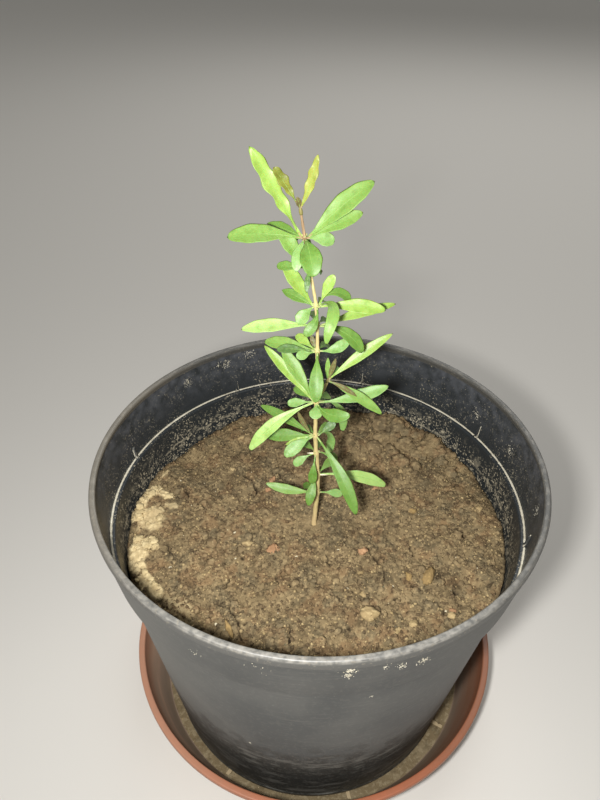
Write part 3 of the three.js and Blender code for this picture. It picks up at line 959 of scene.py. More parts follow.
@dataclass
class Saucer:
    """The deep dish under the pot, with a lip, low ribs on its floor and dried mud on it."""

    radius: float = 127
    height: float = 43
    lip_width: float = 4.2
    lip_depth: float = 4
    wall: float = 2
    floor: float = 2.4
    floor_radius: float = 109
    heel: float = 4
    fillet: float = 3
    shift: Pair = (-1.5, 2.8)
    ribs: int = 8
    rib_size: Triple = (28, 2.6, 1.2)
    rib_radius: float = 94
    rib_phase: float = 14
    segments: int = 192
    mud_start: float = 78
    crumbs: int = 420
    seed: int = 58

    def build_dish(self) -> Object:
        """Turns the dish, whose profile holds its lip, two shallow steps in its wall and its rounded corners.

        Returns:
            The dish.
        """
        inside = self.radius - self.lip_width
        under_lip = self.height - self.lip_depth
        slope = (inside - self.floor_radius) / (under_lip - self.floor)
        steps = [
            (self.floor_radius + slope * (height - self.floor) - inset, height)
            for height, inset in ((28, 0), (26, 0.35), (16, 0), (14, 0.35))
        ]
        profile = [
            (self.floor_radius - 30, 0),
            (self.floor_radius - self.heel, 0, 1.2),
            (self.floor_radius + self.wall, self.heel, 2),
            (inside + self.wall, under_lip, 0.8),
            (self.radius, under_lip, 0.8),
            (self.radius, self.height, 1.1),
            (inside, self.height, 1.1),
            (inside - 0.8, under_lip, 0.6),
            *steps,
            (self.floor_radius + 0.5, self.floor + 1, 2.4),
            (self.floor_radius - self.fillet, self.floor, 1.4),
            (self.floor_radius - 30, self.floor),
        ]
        dish = turned("saucer_dish", [*rounded(profile), (AXIS, self.floor)], self.segments)
        smooth(dish)
        return dish

    def build_rib(self, angle: float) -> Object:
        """Models one rib on the floor.

        Args:
            angle: its direction about the axis, in degrees.

        Returns:
            The rib.
        """
        rib = bevelled_bar(self.rib_size, 0.4)
        place = Matrix.Translation(Vector((self.rib_radius, 0, self.floor + self.rib_size[2] / 2)) * MM)
        rib.data.transform(Matrix.Rotation(math.radians(angle), 4, "Z") @ place)
        return rib

    def build_mud(self) -> Object:
        """Lays dried mud on the floor between the pot's foot and the wall, with an uneven surface.

        Returns:
            The mud.
        """
        outer = self.floor_radius + 1.2
        levels = (0.1, 0.5, 0.5, 0.5, 0.6, 0.8, 1.5)
        steps = [self.mud_start + (outer - self.mud_start) * k / 6 for k in range(7)]
        top = [(radius, self.floor + rise) for radius, rise in zip(reversed(steps), reversed(levels))]
        sunk = self.floor - 0.3
        mud = turned("saucer_mud", [(outer, sunk), *top, (AXIS, sunk)], self.segments)
        for vertex in mud.data.vertices:
            if vertex.co.z > self.floor * MM:
                lumps = noise.fractal(vertex.co / (6 * MM), 0.8, 2, 4)
                vertex.co.z += min(0.35, max(-0.25, 0.4 * lumps)) * MM
        smooth(mud, 60)
        return mud

    def build_crumbs(self) -> Object:
        """Scatters small crumbs of soil over the mud, more of them against the wall.

        Returns:
            The joined crumbs.
        """
        rng = random.Random(self.seed)
        heap = Heap()
        outer = self.floor_radius - 1
        for _ in range(self.crumbs):
            radius = outer - (outer - self.mud_start) * rng.random() ** 1.6
            angle, size = rng.uniform(0, 2 * math.pi), rng.uniform(0.5, 1) + 1.4 * rng.random() ** 4
            foot = outwards(angle) * radius + UP * (self.floor + 0.5)
            heap.add_fleck(foot, UP, size, size * 0.6, rng)
        return heap.piece("saucer_crumbs")

    def build(self) -> None:
        """Builds the saucer, moves it to its place under the pot and dresses it."""
        move = Matrix.Translation(Vector((*self.shift, 0)) * MM)
        ribs = [self.build_rib(self.rib_phase + 360 * index / self.ribs) for index in range(self.ribs)]
        for piece, finish in (
            (self.build_dish(), SAUCER_SKIN),
            (join(ribs, "saucer_ribs"), SAUCER_RIBS),
            (self.build_mud(), SAUCER_MUD),
            (self.build_crumbs(), SOIL_CRUMB),
        ):
            piece.data.transform(move)
            dress(piece, [finish])
            hand_over(piece, "saucer_plastic", *(["saucer"] if finish is SAUCER_SKIN else []))


# Pot


@dataclass(frozen=True)
class Splash:
    """A drop of muddy water that dried on the pot's wall.

    Attributes:
        angle: its direction about the pot's axis, in degrees.
        height: its height in millimetres.
        size: how wide it is.
        flecks: how many flecks it left.
        ring: whether the flecks lie along its border.
    """

    angle: float
    height: float
    size: float
    flecks: int
    ring: bool = False


@dataclass
class NurseryPot:
    """The tapered nursery pot with its rolled rim, wider collar, inner ledge and stacking lugs."""

    radius: float = 130
    top: float = RIM
    foot: float = 3.9
    neck_radius: float = 129.1
    shoulder_radius: float = 124.6
    body_radius: float = 121.6
    base_radius: float = 98
    rim_depth: float = 6
    rim_width: float = 4
    wall: float = 1.3
    floor: float = 2.5
    lean: Pair = (-3.5, -4)
    ledge: float = LEDGE
    lugs: int = 8
    lug_phase: float = 29.5
    lug_size: Triple = (1.8, 1.4, 9)
    segments: int = 256
    drain_radius: float = 60
    seed: int = 91
    inner_splashes: tuple[Splash, ...] = (
        Splash(122, 201, 6, 64, ring=True), Splash(137, 199, 6, 64, ring=True), Splash(125, 202, 5, 36),
        Splash(114, 205, 8, 88, ring=True), Splash(96, 204, 7, 56, ring=True), Splash(15, 191, 9, 48),
        Splash(32, 192, 10, 56), Splash(-10, 195, 8, 36),
    )
    outer_splashes: tuple[Splash, ...] = (
        Splash(-83, 204, 5, 120), Splash(-83, 199, 4, 56), Splash(-72, 199, 9, 48), Splash(-67, 198, 5, 56),
        Splash(-76, 203, 3, 20), Splash(-76, 163, 2, 12), Splash(-108, 87, 1, 8), Splash(-116, 192, 7, 12),
        Splash(-101, 201, 9, 12),
    )

    @property
    def collar_slope(self) -> float:
        """Gives how much the collar widens per millimetre of height."""
        return (self.neck_radius - self.shoulder_radius) / (self.top - self.rim_depth - self.ledge)

    def collar(self, height: float) -> float:
        """Gives the outer radius of the collar, the wider band of wall above the ledge."""
        return self.shoulder_radius + self.collar_slope * (height - self.ledge)

    def body(self, height: float) -> float:
        """Gives the outer radius of the narrower wall below the ledge."""
        slope = (self.body_radius - self.base_radius) / (self.ledge - self.foot)
        return self.base_radius + slope * (height - self.foot)

    def inside(self, height: float) -> float:
        """Gives the wall's inner radius at a height, which steps in at the ledge."""
        return (self.collar(height) if height > self.ledge else self.body(height)) - self.wall

    def leaned(self, piece: Object) -> Object:
        """Leans a piece as the soft pot sags: the rim stays where it is, and the foot moves off its axis.

        Args:
            piece: the piece.

        Returns:
            The same piece.
        """
        shear = Matrix.Identity(4)
        for row, shift in enumerate(self.lean):
            along = shift / (self.foot - self.top)
            shear[row][2] = along
            shear[row][3] = -along * self.top * MM
        piece.data.transform(shear)
        return piece

    def build_shell(self) -> Object:
        """Turns the pot's wall, floor, foot and rolled rim.

        Returns:
            The shell.
        """
        under_rim = self.top - self.rim_depth
        inner_rim = self.radius - self.rim_width
        step = self.ledge - self.wall
        profile = [
            (self.drain_radius, self.foot + 1),
            (self.base_radius - 9, self.foot + 1, 1),
            (self.base_radius - 7, self.foot, 0.8),
            (self.base_radius - 0.6, self.foot, 1.2),
            (self.body(self.foot + 6), self.foot + 6, 0.5),
            (self.body(self.foot + 6) - 0.35, self.foot + 6.6, 0.2),
            (self.body(self.foot + 20) - 0.35, self.foot + 20),
            (self.body(90) - 0.2, 90),
            (self.body(150), 150),
            (self.body(step), step - 0.5, 0.5),
            (self.collar(step), step + 0.4, 0.5),
            (self.collar(under_rim) - 0.1, under_rim, 0.5),
            (self.radius - 0.3, under_rim + 0.3, 0.5),
            (self.radius, self.top - 2.4, 1),
            (self.radius - 0.7, self.top, 1.1),
            (inner_rim + 0.4, self.top, 1.1),
            (inner_rim, self.top - 2, 1),
            (self.inside(under_rim), under_rim, 1),
            (self.inside(190), 190),
            (self.inside(self.ledge + 0.6), self.ledge + 0.6, 0.3),
            (self.inside(self.ledge - 0.2) + 0.5, self.ledge + 0.35, 0.25),
            (self.inside(self.ledge - 0.6), self.ledge - 0.6, 0.25),
            (self.inside(160), 160),
            (self.inside(self.foot + 8), self.foot + 8),
            (self.inside(self.foot + self.floor) - 2, self.foot + self.floor, 1),
            (self.drain_radius, self.foot + self.floor),
        ]
        shell = turned("pot_shell", [*rounded(profile), (AXIS, self.foot + self.floor)], self.segments)
        smooth(shell, 50)
        return shell

    def build_lug(self, angle: float) -> Object:
        """Models one stacking lug: a small bevelled block whose top is drawn back to the wall.

        Args:
            angle: its direction about the axis, in degrees.

        Returns:
            The lug.
        """
        out, _, height = self.lug_size
        middle = self.ledge + height / 2 - 0.8
        lug = bevelled_bar(self.lug_size, 0.3)
        place = Matrix.Translation(Vector((self.inside(middle) - out / 4, 0, middle)) * MM)
        turn = Matrix.Rotation(math.radians(angle), 4, "Z")
        lug.data.transform(turn @ place @ Matrix.Rotation(math.atan(self.collar_slope), 4, "Y"))
        return lug

    def add_dust_line(self, heap: Heap, start: float, stretch: float) -> None:
        """Adds a line of pale dust along the ledge, from one lug to the next.

        Args:
            heap: the dust.
            start: the first lug's direction, in degrees.
            stretch: how many degrees it is to the next lug.
        """
        rings = []
        samples = 90
        for step in range(samples + 1):
            share = step / samples
            out = outwards(math.radians(start + 0.5 + (stretch - 1) * share))
            wobble = noise.noise(out * 9) * 0.25 + noise.noise(out * 60) * 0.2
            ends = smooth_step(0, 0.01, share) * smooth_step(1, 0.99, share)
            half = out * max(0.08, (0.75 + wobble) * ends)
            centre = out * (self.inside(self.ledge + 1) - 0.75) + UP * (self.ledge + 0.45)
            lift = UP * (0.3 + 0.15 * wobble)
            rings.append([centre - half, centre + lift * 1.2, centre + half + lift, centre - lift])
        heap.add_rings(rings)

    def add_lug_dust(self, heap: Heap, angle: float, side: float) -> None:
        """Adds the small heap of dust at a lug, and the fine upright line of dust beside it.

        Args:
            heap: the dust.
            angle: the lug's direction, in degrees.
            side: how far the line is beside the lug, in millimetres.
        """
        out = outwards(math.radians(angle))
        across = Vector((-out.y, out.x, 0))
        tall = self.lug_size[2] * (0.85 + 0.3 * noise.noise(out * 17 + across))
        for foot_width, tip_width, rise, offset, deep in (
            (1.7, 0.25, 3.2, 0, self.lug_size[0] * 0.75),
            (0.36, 0.14, tall, side, 0.1),
        ):
            rings = []
            for share in (0, 0.3, 0.7, 1):
                height = self.ledge + 0.3 + rise * share
                half = across * (foot_width + (tip_width - foot_width) * share)
                reach = self.inside(height) - 0.08 - deep * (1 - share)
                base = out * reach + across * offset + UP * height
                rings.append([base - half, base - out * 0.3, base + half, base + out * 0.15])
            heap.add_rings(rings)

    def add_splash(self, heap: Heap, splash: Splash, inside: bool, rng: random.Random) -> None:
        """Adds one dried drop, a ring or a cluster of flat flecks.

        Args:
            heap: the splashes.
            splash: the drop.
            inside: whether it is on the inner wall.
            rng: the seeded source of its flecks.
        """
        for _ in range(splash.flecks):
            share = rng.gauss(0.75, 0.3) if splash.ring else abs(rng.gauss(0, 0.75))
            spread = splash.size / 2 * share
            round_it = rng.uniform(0, 2 * math.pi)
            height = splash.height + spread * math.sin(round_it)
            out = outwards(math.radians(splash.angle) + spread * math.cos(round_it) / self.radius)
            foot = out * (self.inside(height) + (0 if inside else self.wall)) + UP * height
            size = rng.uniform(0.25, 0.6) if rng.random() < 0.85 else rng.uniform(0.6, 1)
            heap.add_fleck(foot, -out if inside else out, size, 0.12, rng)

    def choose_finish(self, middle: Vector, normal: Vector) -> int:
        """Deals out the finishes of the outer wall, the inner wall, the rim and the underside.

        Args:
            middle: a face's middle in millimetres.
            normal: its direction.

        Returns:
            The number of its material slot.
        """
        if middle.z > self.top - self.rim_depth + 0.1:
            return 2
        if middle.z < self.foot + 1.5 and normal.z < -0.7:
            return 3
        outward = Vector((middle.x, middle.y, 0)).normalized().dot(normal)
        return 0 if outward > 0 else 1

    def build(self) -> None:
        """Builds and dresses the pot, its dust and its splashes."""
        stretch = 360 / self.lugs
        turns = [self.lug_phase + stretch * index for index in range(self.lugs)]
        shell = join([self.build_shell(), *map(self.build_lug, turns)], "pot_shell")
        dress(shell, [POT_OUTSIDE, POT_INSIDE, POT_RIM, POT_BASE], self.choose_finish)
        hand_over(self.leaned(shell), "pot_plastic", "pot")
        dust, splashes, rng = Heap(), Heap(), random.Random(self.seed)
        for turn in turns:
            self.add_dust_line(dust, turn, stretch)
        for index, turn in enumerate(turns):
            self.add_lug_dust(dust, turn, 1.05 if index % 2 else -1.05)
        for splash in self.inner_splashes:
            self.add_splash(splashes, splash, True, rng)
        for splash in self.outer_splashes:
            self.add_splash(splashes, splash, False, rng)
        for heap, name in ((dust, "pot_ledge_dust"), (splashes, "pot_splashes")):
            hand_over(self.leaned(heap.piece(name, DRIED_LIME)), "pot_plastic")


# Soil


Stone = tuple[list[Vector], Faces]  # the corners and the faces of a rough stone


@dataclass(frozen=True)
class CrumbKind:
    """A kind of bit that lies on the soil.

    Attributes:
        name: the name of its piece.
        finish: what it is made of.
        count: how many there are.
        sizes: least and greatest width in millimetres.
        detail: 1 for a bit of 20 faces, 2 for one of 80.
        squash: its height over its width.
    """

    name: str
    finish: Finish
    count: int
    sizes: Pair
    detail: int
    squash: float = 0.75


@dataclass(frozen=True)
class Bit:
    """One bit that shows by itself: its place, its length, width and height, and its turn in degrees."""

    x: float
    y: float
    length: float
    width: float
    height: float
    turn: float = 0


@dataclass
class SoilBed:
    """The dry loam in the pot: its uneven surface with cracks, and the crumbs and clods that lie on it."""

    pot: NurseryPot
    level: float = SOIL_LEVEL
    waves: tuple[tuple[float, float, float, float], ...] = (
        (0.8, 0.11, 0.13, 1.3), (0.5, 0.27, -0.21, 2), (0.3, 0.43, 0.37, 0.5),
    )
    heaps: tuple[tuple[float, float, float, float], ...] = (
        (56, 98, 6, 14), (84, 78, 5, 12), (-104, 10, 4, 16), (-88, 66, -4, 24), (-104, -28, 3.5, 11),
        (-92, -53, 3, 10), (-72, -68, 2.5, 10), (-50, -76, 2.6, 11), (-43, -31, 2.8, 8), (-20, -52, 2.4, 8),
        (2, -78, 2.2, 9), (8, -44, -2.4, 9), (27, -26, 2.4, 8), (29, -69, 2.8, 8), (54, -76, 2.2, 8),
        (63, -43, 2.6, 8), (49, -19, -2.2, 9), (78, -17, 2.6, 9), (97, -39, 2.4, 8), (98, 12, 2.4, 9),
        (60, 20, 2.6, 9), (42, 47, -2.4, 9), (22, 77, 2.6, 9), (22, 15, 2.2, 8), (-14, 87, 2.2, 9),
        (-55, 78, 2.4, 10), (-22, 55, -2.2, 9), (-46, 35, 2.6, 9), (-68, -2, 2.8, 9), (-31, 5, 2.2, 8),
    )
    calm: float = 12
    stem_foot: Pair = (-2, -3)
    edge_level: float = 151
    gap: float = 0.3
    cells: int = 330
    seed: int = 4127
    crack_width: float = 0.75
    cracks: tuple[tuple[Pair, ...], ...] = (
        ((-50, 38), (-43, 31), (-40, 28), (-40, 22)), ((-86, 24), (-83, 18)), ((-74, 11), (-70, 6)),
        ((-70, -24), (-72, -30)), ((-54, -63), (-48, -64), (-43, -70), (-40, -77), (-39, -84)),
        ((-49, -45), (-51, -53)), ((-90, -21), (-87, -28)), ((31, -21), (36, -29), (41, -37), (40, -42)),
        ((56, -13), (59, -23)), ((69, -32), (72, -37)), ((67, -56), (70, -60), (73, -65)),
        ((18, -11), (19, -19)), ((-13, -74), (-12, -79), (-13, -85)), ((-26, 45), (-23, 37)),
        ((-23, -42), (-20, -47)), ((7, -25), (10, -32)), ((13, -55), (16, -60)),
    )
    pits: tuple[Triple, ...] = (
        (-14, -49, 2.6), (19, -75, 3), (46, -55, 3.4), (56, -48, 2.6), (80, -50, 4), (-88, -54, 1.6),
        (-43, -32, 2), (-37, -75, 2.4), (75, 20, 2.4), (38, 70, 2.6), (-60, 60, 2.2),
    )
    chips: tuple[Bit, ...] = (
        Bit(28, -26, 6.4, 4, 2.4, 20), Bit(-25, -24, 7.5, 6.5, 1.6, 60), Bit(-30, 36, 5.5, 4, 2.4, 60),
        Bit(-32, 25, 4.4, 3.2, 2.2, 10), Bit(39, 30, 4.4, 3, 2.2, 30), Bit(77, -63, 4.4, 3.4, 2.2, 30),
    )
    ochre_bits: tuple[Bit, ...] = (
        Bit(66, -41, 14, 5.6, 2.6, 70), Bit(54, -42, 5, 3, 2.4, 100), Bit(-45, -80, 10, 3, 1.8, 115),
        Bit(62, 11, 6, 4, 2.2, 30),
    )
    pale_bits: tuple[Bit, ...] = (
        Bit(30, -69, 9, 8, 3, 0), Bit(54, -73, 5, 4.4, 2.6, 0), Bit(28, -53, 4.6, 3.6, 2, 40),
        Bit(27, -37, 4, 3, 2, 0), Bit(76, -66, 5, 4, 2.4, 30), Bit(45, -77, 4.4, 2.6, 2, 60),
        Bit(64, 85, 3.6, 3, 2.4, 0), Bit(67, 77, 3, 2.6, 2, 0), Bit(57, 47, 3.4, 3, 2, 0),
        Bit(33, 60, 3.4, 2.4, 2, 0), Bit(-55, 78, 5, 3.4, 2, 30), Bit(-58, 45, 5, 3.6, 2, 0),
        Bit(-41, -20, 6, 3.6, 1.8, 0), Bit(104, 12, 4, 3, 2, 0),
    )
    white_bits: tuple[Bit, ...] = (
        Bit(-11, -27, 2.2, 1, 0.9, 20), Bit(14, -22, 1.3, 1, 0.8), Bit(60, -37, 1.2, 0.9, 0.8),
        Bit(19, -49, 1.6, 1.2, 0.9), Bit(-85, -38, 1.8, 1.6, 1), Bit(-47, -32, 1.2, 1, 0.8),
        Bit(-53, -76, 1.8, 1.5, 1), Bit(-50, -11, 1.5, 1, 0.8, 40), Bit(73, -63, 1.3, 1.1, 0.8),
        Bit(71, 67, 1.6, 1.2, 1),
    )
    crust_patches: tuple[Bit, ...] = (
        Bit(-108, 20, 16, 11, 1, 60), Bit(-99, 18, 8, 7, 1), Bit(-112, 10, 12, 8, 1, 80),
        Bit(-104, -3, 20, 17, 0.85, 90), Bit(-114, -2, 7, 8, 1), Bit(-106, -27, 19, 15, 1, 100),
        Bit(-99, -23, 13, 7, 0.9, 160), Bit(-105, -38, 15, 11, 0.85, 110), Bit(-97, -49, 15, 9, 0.9, 115),
        Bit(-90, -57, 13, 9, 1, 130), Bit(-75, -65, 24, 13, 0.45, 145), Bit(-103, 40, 9, 3, 0.8, 65),
        Bit(-93, 9, 9, 6, 0.6), Bit(-76, 9, 9, 5, 0.3),
    )
    clod_heaps: tuple[tuple[float, float, int, Pair, float], ...] = (
        (55, 6, 36, (5, 12), 15), (40, 5, 30, (5, 11), 12), (66, 7, 14, (3, 7), 10), (96, 9, 9, (3, 6), 7),
    )

    @property
    def edge(self) -> float:
        """Gives the radius of the bed, just inside the wall."""
        return self.pot.inside(self.edge_level) - self.gap

    def from_stem(self, x: float, y: float) -> float:
        """Gives how far a place is from the stem's foot."""
        return math.hypot(x - self.stem_foot[0], y - self.stem_foot[1])

    def top(self, x: float, y: float) -> float:
        """Gives the height of the soil's broad shape at a place.

        Args:
            x: the place's X in millimetres.
            y: its Y.

        Returns:
            The height in millimetres.
        """
        away = 1 - math.exp(-((self.from_stem(x, y) / self.calm) ** 2))
        waves = sum(rise * math.sin(x * kx + y * ky + phase) for rise, kx, ky, phase in self.waves)
        heaps = sum(
            rise * math.exp(-((math.hypot(x - hx, y - hy) / spread) ** 2))
            for hx, hy, rise, spread in self.heaps
        )
        return self.level + away * waves + heaps

    def crack(self, x: float, y: float) -> float:
        """Says how deep in a crack or a pit a place is, from 0 on the surface to 1 in its middle.

        Args:
            x: the place's X in millimetres.
            y: its Y.

        Returns:
            The depth.
        """
        spot = Vector((x, y))
        bend = Vector((noise.noise(Vector((x, y, 3)) / 2.5), noise.noise(Vector((x, y, 17)) / 2.5))) * 1.3
        deepest = 0.0
        for route in self.cracks:
            if (spot - Vector(route[0])).length > 26:
                continue
            for start, end in zip(route, route[1:]):
                near, share = intersect_point_line(spot + bend, start, end)
                near = Vector(start).lerp(Vector(end), min(1.0, max(0.0, share)))
                deepest = max(deepest, smooth_step(self.crack_width, 0.2, (spot + bend - near).length))
        for pit_x, pit_y, width in self.pits:
            reach = math.hypot(x - pit_x, y - pit_y) / width * 2 + 1.1 * noise.noise(Vector((x, y, 29)) / 1.6)
            deepest = max(deepest, 0.9 * smooth_step(1.2, 0.5, reach))
        return deepest

    def crust(self, x: float, y: float) -> float:
        """Says how much of the dried clay along the wall lies at a place, from 0 for none to 1.

        Args:
            x: the place's X in millimetres.
            y: its Y.

        Returns:
            The share.
        """
        ragged = 0.34 * noise.noise(Vector((x, y, 5)) / 4) + 0.3 * noise.noise(Vector((x, y, 8)) / 1.7)
        most = 0.0
        for patch in self.crust_patches:
            offset = Matrix.Rotation(-math.radians(patch.turn), 2) @ Vector((x - patch.x, y - patch.y))
            reach = math.hypot(offset.x / patch.length, offset.y / patch.width) * 2
            most = max(most, patch.height * smooth_step(1.1, 0.85, reach + ragged))
        return most

    def detail(self, x: float, y: float) -> float:
        """Gives the height of the lumps and grains at a place, over the broad shape.

        Args:
            x: the place's X in millimetres.
            y: its Y.

        Returns:
            The height in millimetres.
        """
        spot = Vector((x, y, 0))
        lumps = noise.fractal(spot / 12, 0.8, 2.1, 4) * 1.3
        clods = noise.turbulence(spot / 9, 4, True, noise_basis="PERLIN_ORIGINAL", amplitude_scale=0.6)
        grains = noise.fractal(spot / 2.8, 0.5, 2.2, 4)
        return lumps + (clods - 0.6) * 0.7 + grains * 0.85

    def surface(self, x: float, y: float) -> Pair:
        """Gives the soil's finished height at a place, and how deep in a hollow it is, from 0 to 1.

        Args:
            x: the place's X in millimetres.
            y: its Y.

        Returns:
            The height in millimetres, and the depth in the hollow.
        """
        fine = self.detail(x, y) * (0.3 + 0.7 * smooth_step(3, 10, self.from_stem(x, y)))
        crack = self.crack(x, y)
        # Painted shade: dips in the fine relief darken a little, and cracks and pits darken most.
        hollow = max(crack, 0.35 * smooth_step(-0.6, -1.9, fine))
        return self.top(x, y) + fine + 1.5 * self.crust(x, y) - 2 * crack, hollow

    def build_bed(self) -> Object:
        """Models the bed: a fine grid is cut to the wall's circle, raised to the surface and closed below.

        Returns:
            The bed.
        """
        select_none()
        wall = self.edge
        size = 2 * wall + 2
        bpy.ops.mesh.primitive_grid_add(x_subdivisions=self.cells, y_subdivisions=self.cells, size=size * MM)
        bed = bpy.context.object
        bed.name = bed.data.name = "soil_bed"
        step = size / self.cells
        bpy.ops.object.mode_set(mode="EDIT")
        bpy.ops.mesh.select_mode(type="VERT")
        bpy.ops.mesh.select_all(action="DESELECT")
        bpy.ops.object.mode_set(mode="OBJECT")
        for vertex in bed.data.vertices:
            vertex.select = vertex.co.xy.length / MM > wall + step * 0.5
        bpy.ops.object.mode_set(mode="EDIT")
        bpy.ops.mesh.delete(type="VERT")
        bpy.ops.mesh.select_all(action="SELECT")
        bpy.ops.mesh.region_to_loop()
        bpy.ops.object.mode_set(mode="OBJECT")
        rim = {vertex.index for vertex in bed.data.vertices if vertex.select}
        hollows, crusts = [], []
        for vertex in bed.data.vertices:
            if vertex.index in rim:
                vertex.co.xy = vertex.co.xy.normalized() * wall * MM
            x, y = vertex.co.x / MM, vertex.co.y / MM
            height, hollow = self.surface(x, y)
            radius = math.hypot(x, y)
            sink = smooth_step(wall - 5, wall, radius) * (1.6 + 1.2 * noise.noise(Vector((x, y, 9)) / 8))
            vertex.co.z = (height - sink) * MM
            # Painted shade: the soil darkens along the wall, where it meets it.
            hollows.append(max(hollow, 0.5 * smooth_step(wall - 2.5, wall, radius)))
            crusts.append(self.crust(x, y))
        deep, level = self.pot.foot + self.pot.floor + 2, self.level - 30
        bpy.ops.object.mode_set(mode="EDIT")
        bpy.ops.mesh.extrude_region_move(TRANSFORM_OT_translate={"value": UP * (-20 * MM)})
        bpy.ops.transform.resize(value=(0.96, 0.96, 0), center_override=UP * (level * MM))
        bpy.ops.mesh.extrude_region_move(TRANSFORM_OT_translate={"value": UP * ((deep - level) * MM)})
        bpy.ops.transform.resize(value=(0.86, 0.86, 1), center_override=UP * (deep * MM))
        bpy.ops.mesh.edge_face_add()
        bpy.ops.mesh.select_all(action="SELECT")
        bpy.ops.mesh.normals_make_consistent(inside=False)
        bpy.ops.object.mode_set(mode="OBJECT")
        for attribute, values in (("hollow", hollows), ("crust", crusts)):
            values += [0.0] * (len(bed.data.vertices) - len(values))
            bed.data.attributes.new(attribute, "FLOAT", "POINT").data.foreach_set("value", values)
        smooth(bed, 180)
        return bed

    def templates(self, rng: random.Random) -> dict[int, list[Stone]]:
        """Models a few rough stones of each detail, which the bits are copied from.

        Args:
            rng: the seeded source of the roughness.

        Returns:
            For each detail, the points of several stones about a unit wide, and their faces.
        """
        stones: dict[int, list[Stone]] = {}
        for detail in (1, 2, 3):
            ball = bmesh.new()
            bmesh.ops.create_icosphere(ball, subdivisions=detail, radius=0.5)
            corners = [vertex.co.copy() for vertex in ball.verts]
            faces = [tuple(vertex.index for vertex in face.verts) for face in ball.faces]
            ball.free()
            stones[detail] = []
            for _ in range(9):
                away = Vector((rng.uniform(-50, 50), rng.uniform(-50, 50), rng.uniform(-50, 50)))
                rough = []
                for corner in corners:
                    lumps = 0.6 * noise.noise(corner * 2.2 + away) + 0.5 * noise.noise(corner * 5 + away)
                    rough.append(corner * (1 + lumps))
                stones[detail].append((rough, faces))
        return stones

    def add_stone(self, heap: Heap, stone: Stone, bit: Bit, tilt: float) -> None:
        """Adds one stone to a heap, half sunk into the soil where it lies.

        Args:
            heap: the heap that it joins.
            stone: the rough stone that it is copied from.
            bit: its place, size and turn.
            tilt: its lean, in radians.
        """
        corners, faces = stone
        turn = Matrix.Rotation(math.radians(bit.turn), 3, "Z") @ Matrix.Rotation(tilt, 3, "X")
        centre = Vector((bit.x, bit.y, self.surface(bit.x, bit.y)[0] + 0.12 * bit.height))
        shape = Matrix.Diagonal((bit.length, bit.width, bit.height))
        heap.add([centre + turn @ (shape @ corner) for corner in corners], faces, [0] * len(faces))

    def scatter(self, kind: CrumbKind, rng: random.Random, stones: dict) -> Object:
        """Scatters one kind of crumb over the whole bed.

        Args:
            kind: what is scattered.
            rng: the seeded source of the places.
            stones: the rough stones to copy.

        Returns:
            The joined crumbs.
        """
        heap = Heap()
        reach = self.edge - kind.sizes[1] * 0.6
        while len(heap.faces) < kind.count * (20 if kind.detail == 1 else 80):
            radius, angle = reach * math.sqrt(rng.random()), rng.uniform(0, 2 * math.pi)
            x, y = radius * math.cos(angle), radius * math.sin(angle)
            share = rng.random()
            size = kind.sizes[0] + (kind.sizes[1] - kind.sizes[0]) * share**3
            turn, tilt, stretch = rng.uniform(0, 360), rng.uniform(-0.5, 0.5), rng.uniform(0.65, 1)
            if self.from_stem(x, y) < 3.2 + size:
                continue
            if (x < -60 and self.crust(x, y) > 0.45) or self.crack(x, y) > 0.25:
                continue
            bit = Bit(x, y, size, size * stretch, size * kind.squash, turn)
            self.add_stone(heap, rng.choice(stones[kind.detail]), bit, tilt)
        return heap.piece(kind.name, kind.finish)

    def place_bits(
        self, name: str, finish: Finish, bits: Sequence[Bit], rng: random.Random, stones: dict
    ) -> None:
        """Places the bits that show one by one in the photograph, as one joined piece.

        Args:
            name: the piece's name.
            finish: what they are made of.
            bits: the bits.
            rng: the seeded source of their forms and leans.
            stones: the rough stones to copy.
        """
        heap = Heap()
        for bit in bits:
            self.add_stone(heap, rng.choice(stones[3]), bit, rng.uniform(-0.15, 0.15))
        hand_over(self.pot.leaned(heap.piece(name, finish)), "soil")

    def build_clods(self, rng: random.Random, stones: dict) -> None:
        """Lays dry clay clods on the crust along the wall, and heaps loam clods at the back right.

        Args:
            rng: the seeded source of the places.
            stones: the rough stones to copy.
        """
        cream, brown = Heap(), Heap()
        for patch in self.crust_patches:
            for _ in range(round(patch.length * patch.width * patch.height**3 / 13)):
                size = rng.uniform(1.8, 6) * patch.height
                x = patch.x + rng.uniform(-0.5, 0.5) * patch.length
                y = patch.y + rng.uniform(-0.5, 0.5) * patch.length
                wide, high, turn = rng.uniform(0.7, 1), rng.uniform(0.3, 0.55), rng.uniform(0, 360)
                bit = Bit(x, y, size, size * wide, size * high, turn)
                stone, tilt = rng.choice(stones[3]), rng.uniform(-0.3, 0.3)
                if self.crust(x, y) > 0.5 and math.hypot(x, y) < self.edge - size * 0.6:
                    self.add_stone(cream, stone, bit, tilt)
        for centre, spread, count, sizes, reach in self.clod_heaps:
            for _ in range(count):
                size = rng.uniform(*sizes)
                angle = math.radians(rng.gauss(centre, spread))
                radius = self.edge - size * 0.55 - abs(rng.gauss(0, reach))
                x, y = radius * math.cos(angle), radius * math.sin(angle)
                wide, high, turn = rng.uniform(0.7, 1), rng.uniform(0.5, 0.75), rng.uniform(0, 360)
                bit = Bit(x, y, size, size * wide, size * high, turn)
                self.add_stone(brown, rng.choice(stones[3]), bit, rng.uniform(-0.3, 0.3))
        hand_over(self.pot.leaned(cream.piece("soil_cream_clods", SOIL_CREAM)), "soil")
        hand_over(self.pot.leaned(brown.piece("soil_clods", SOIL_CRUMB)), "soil")

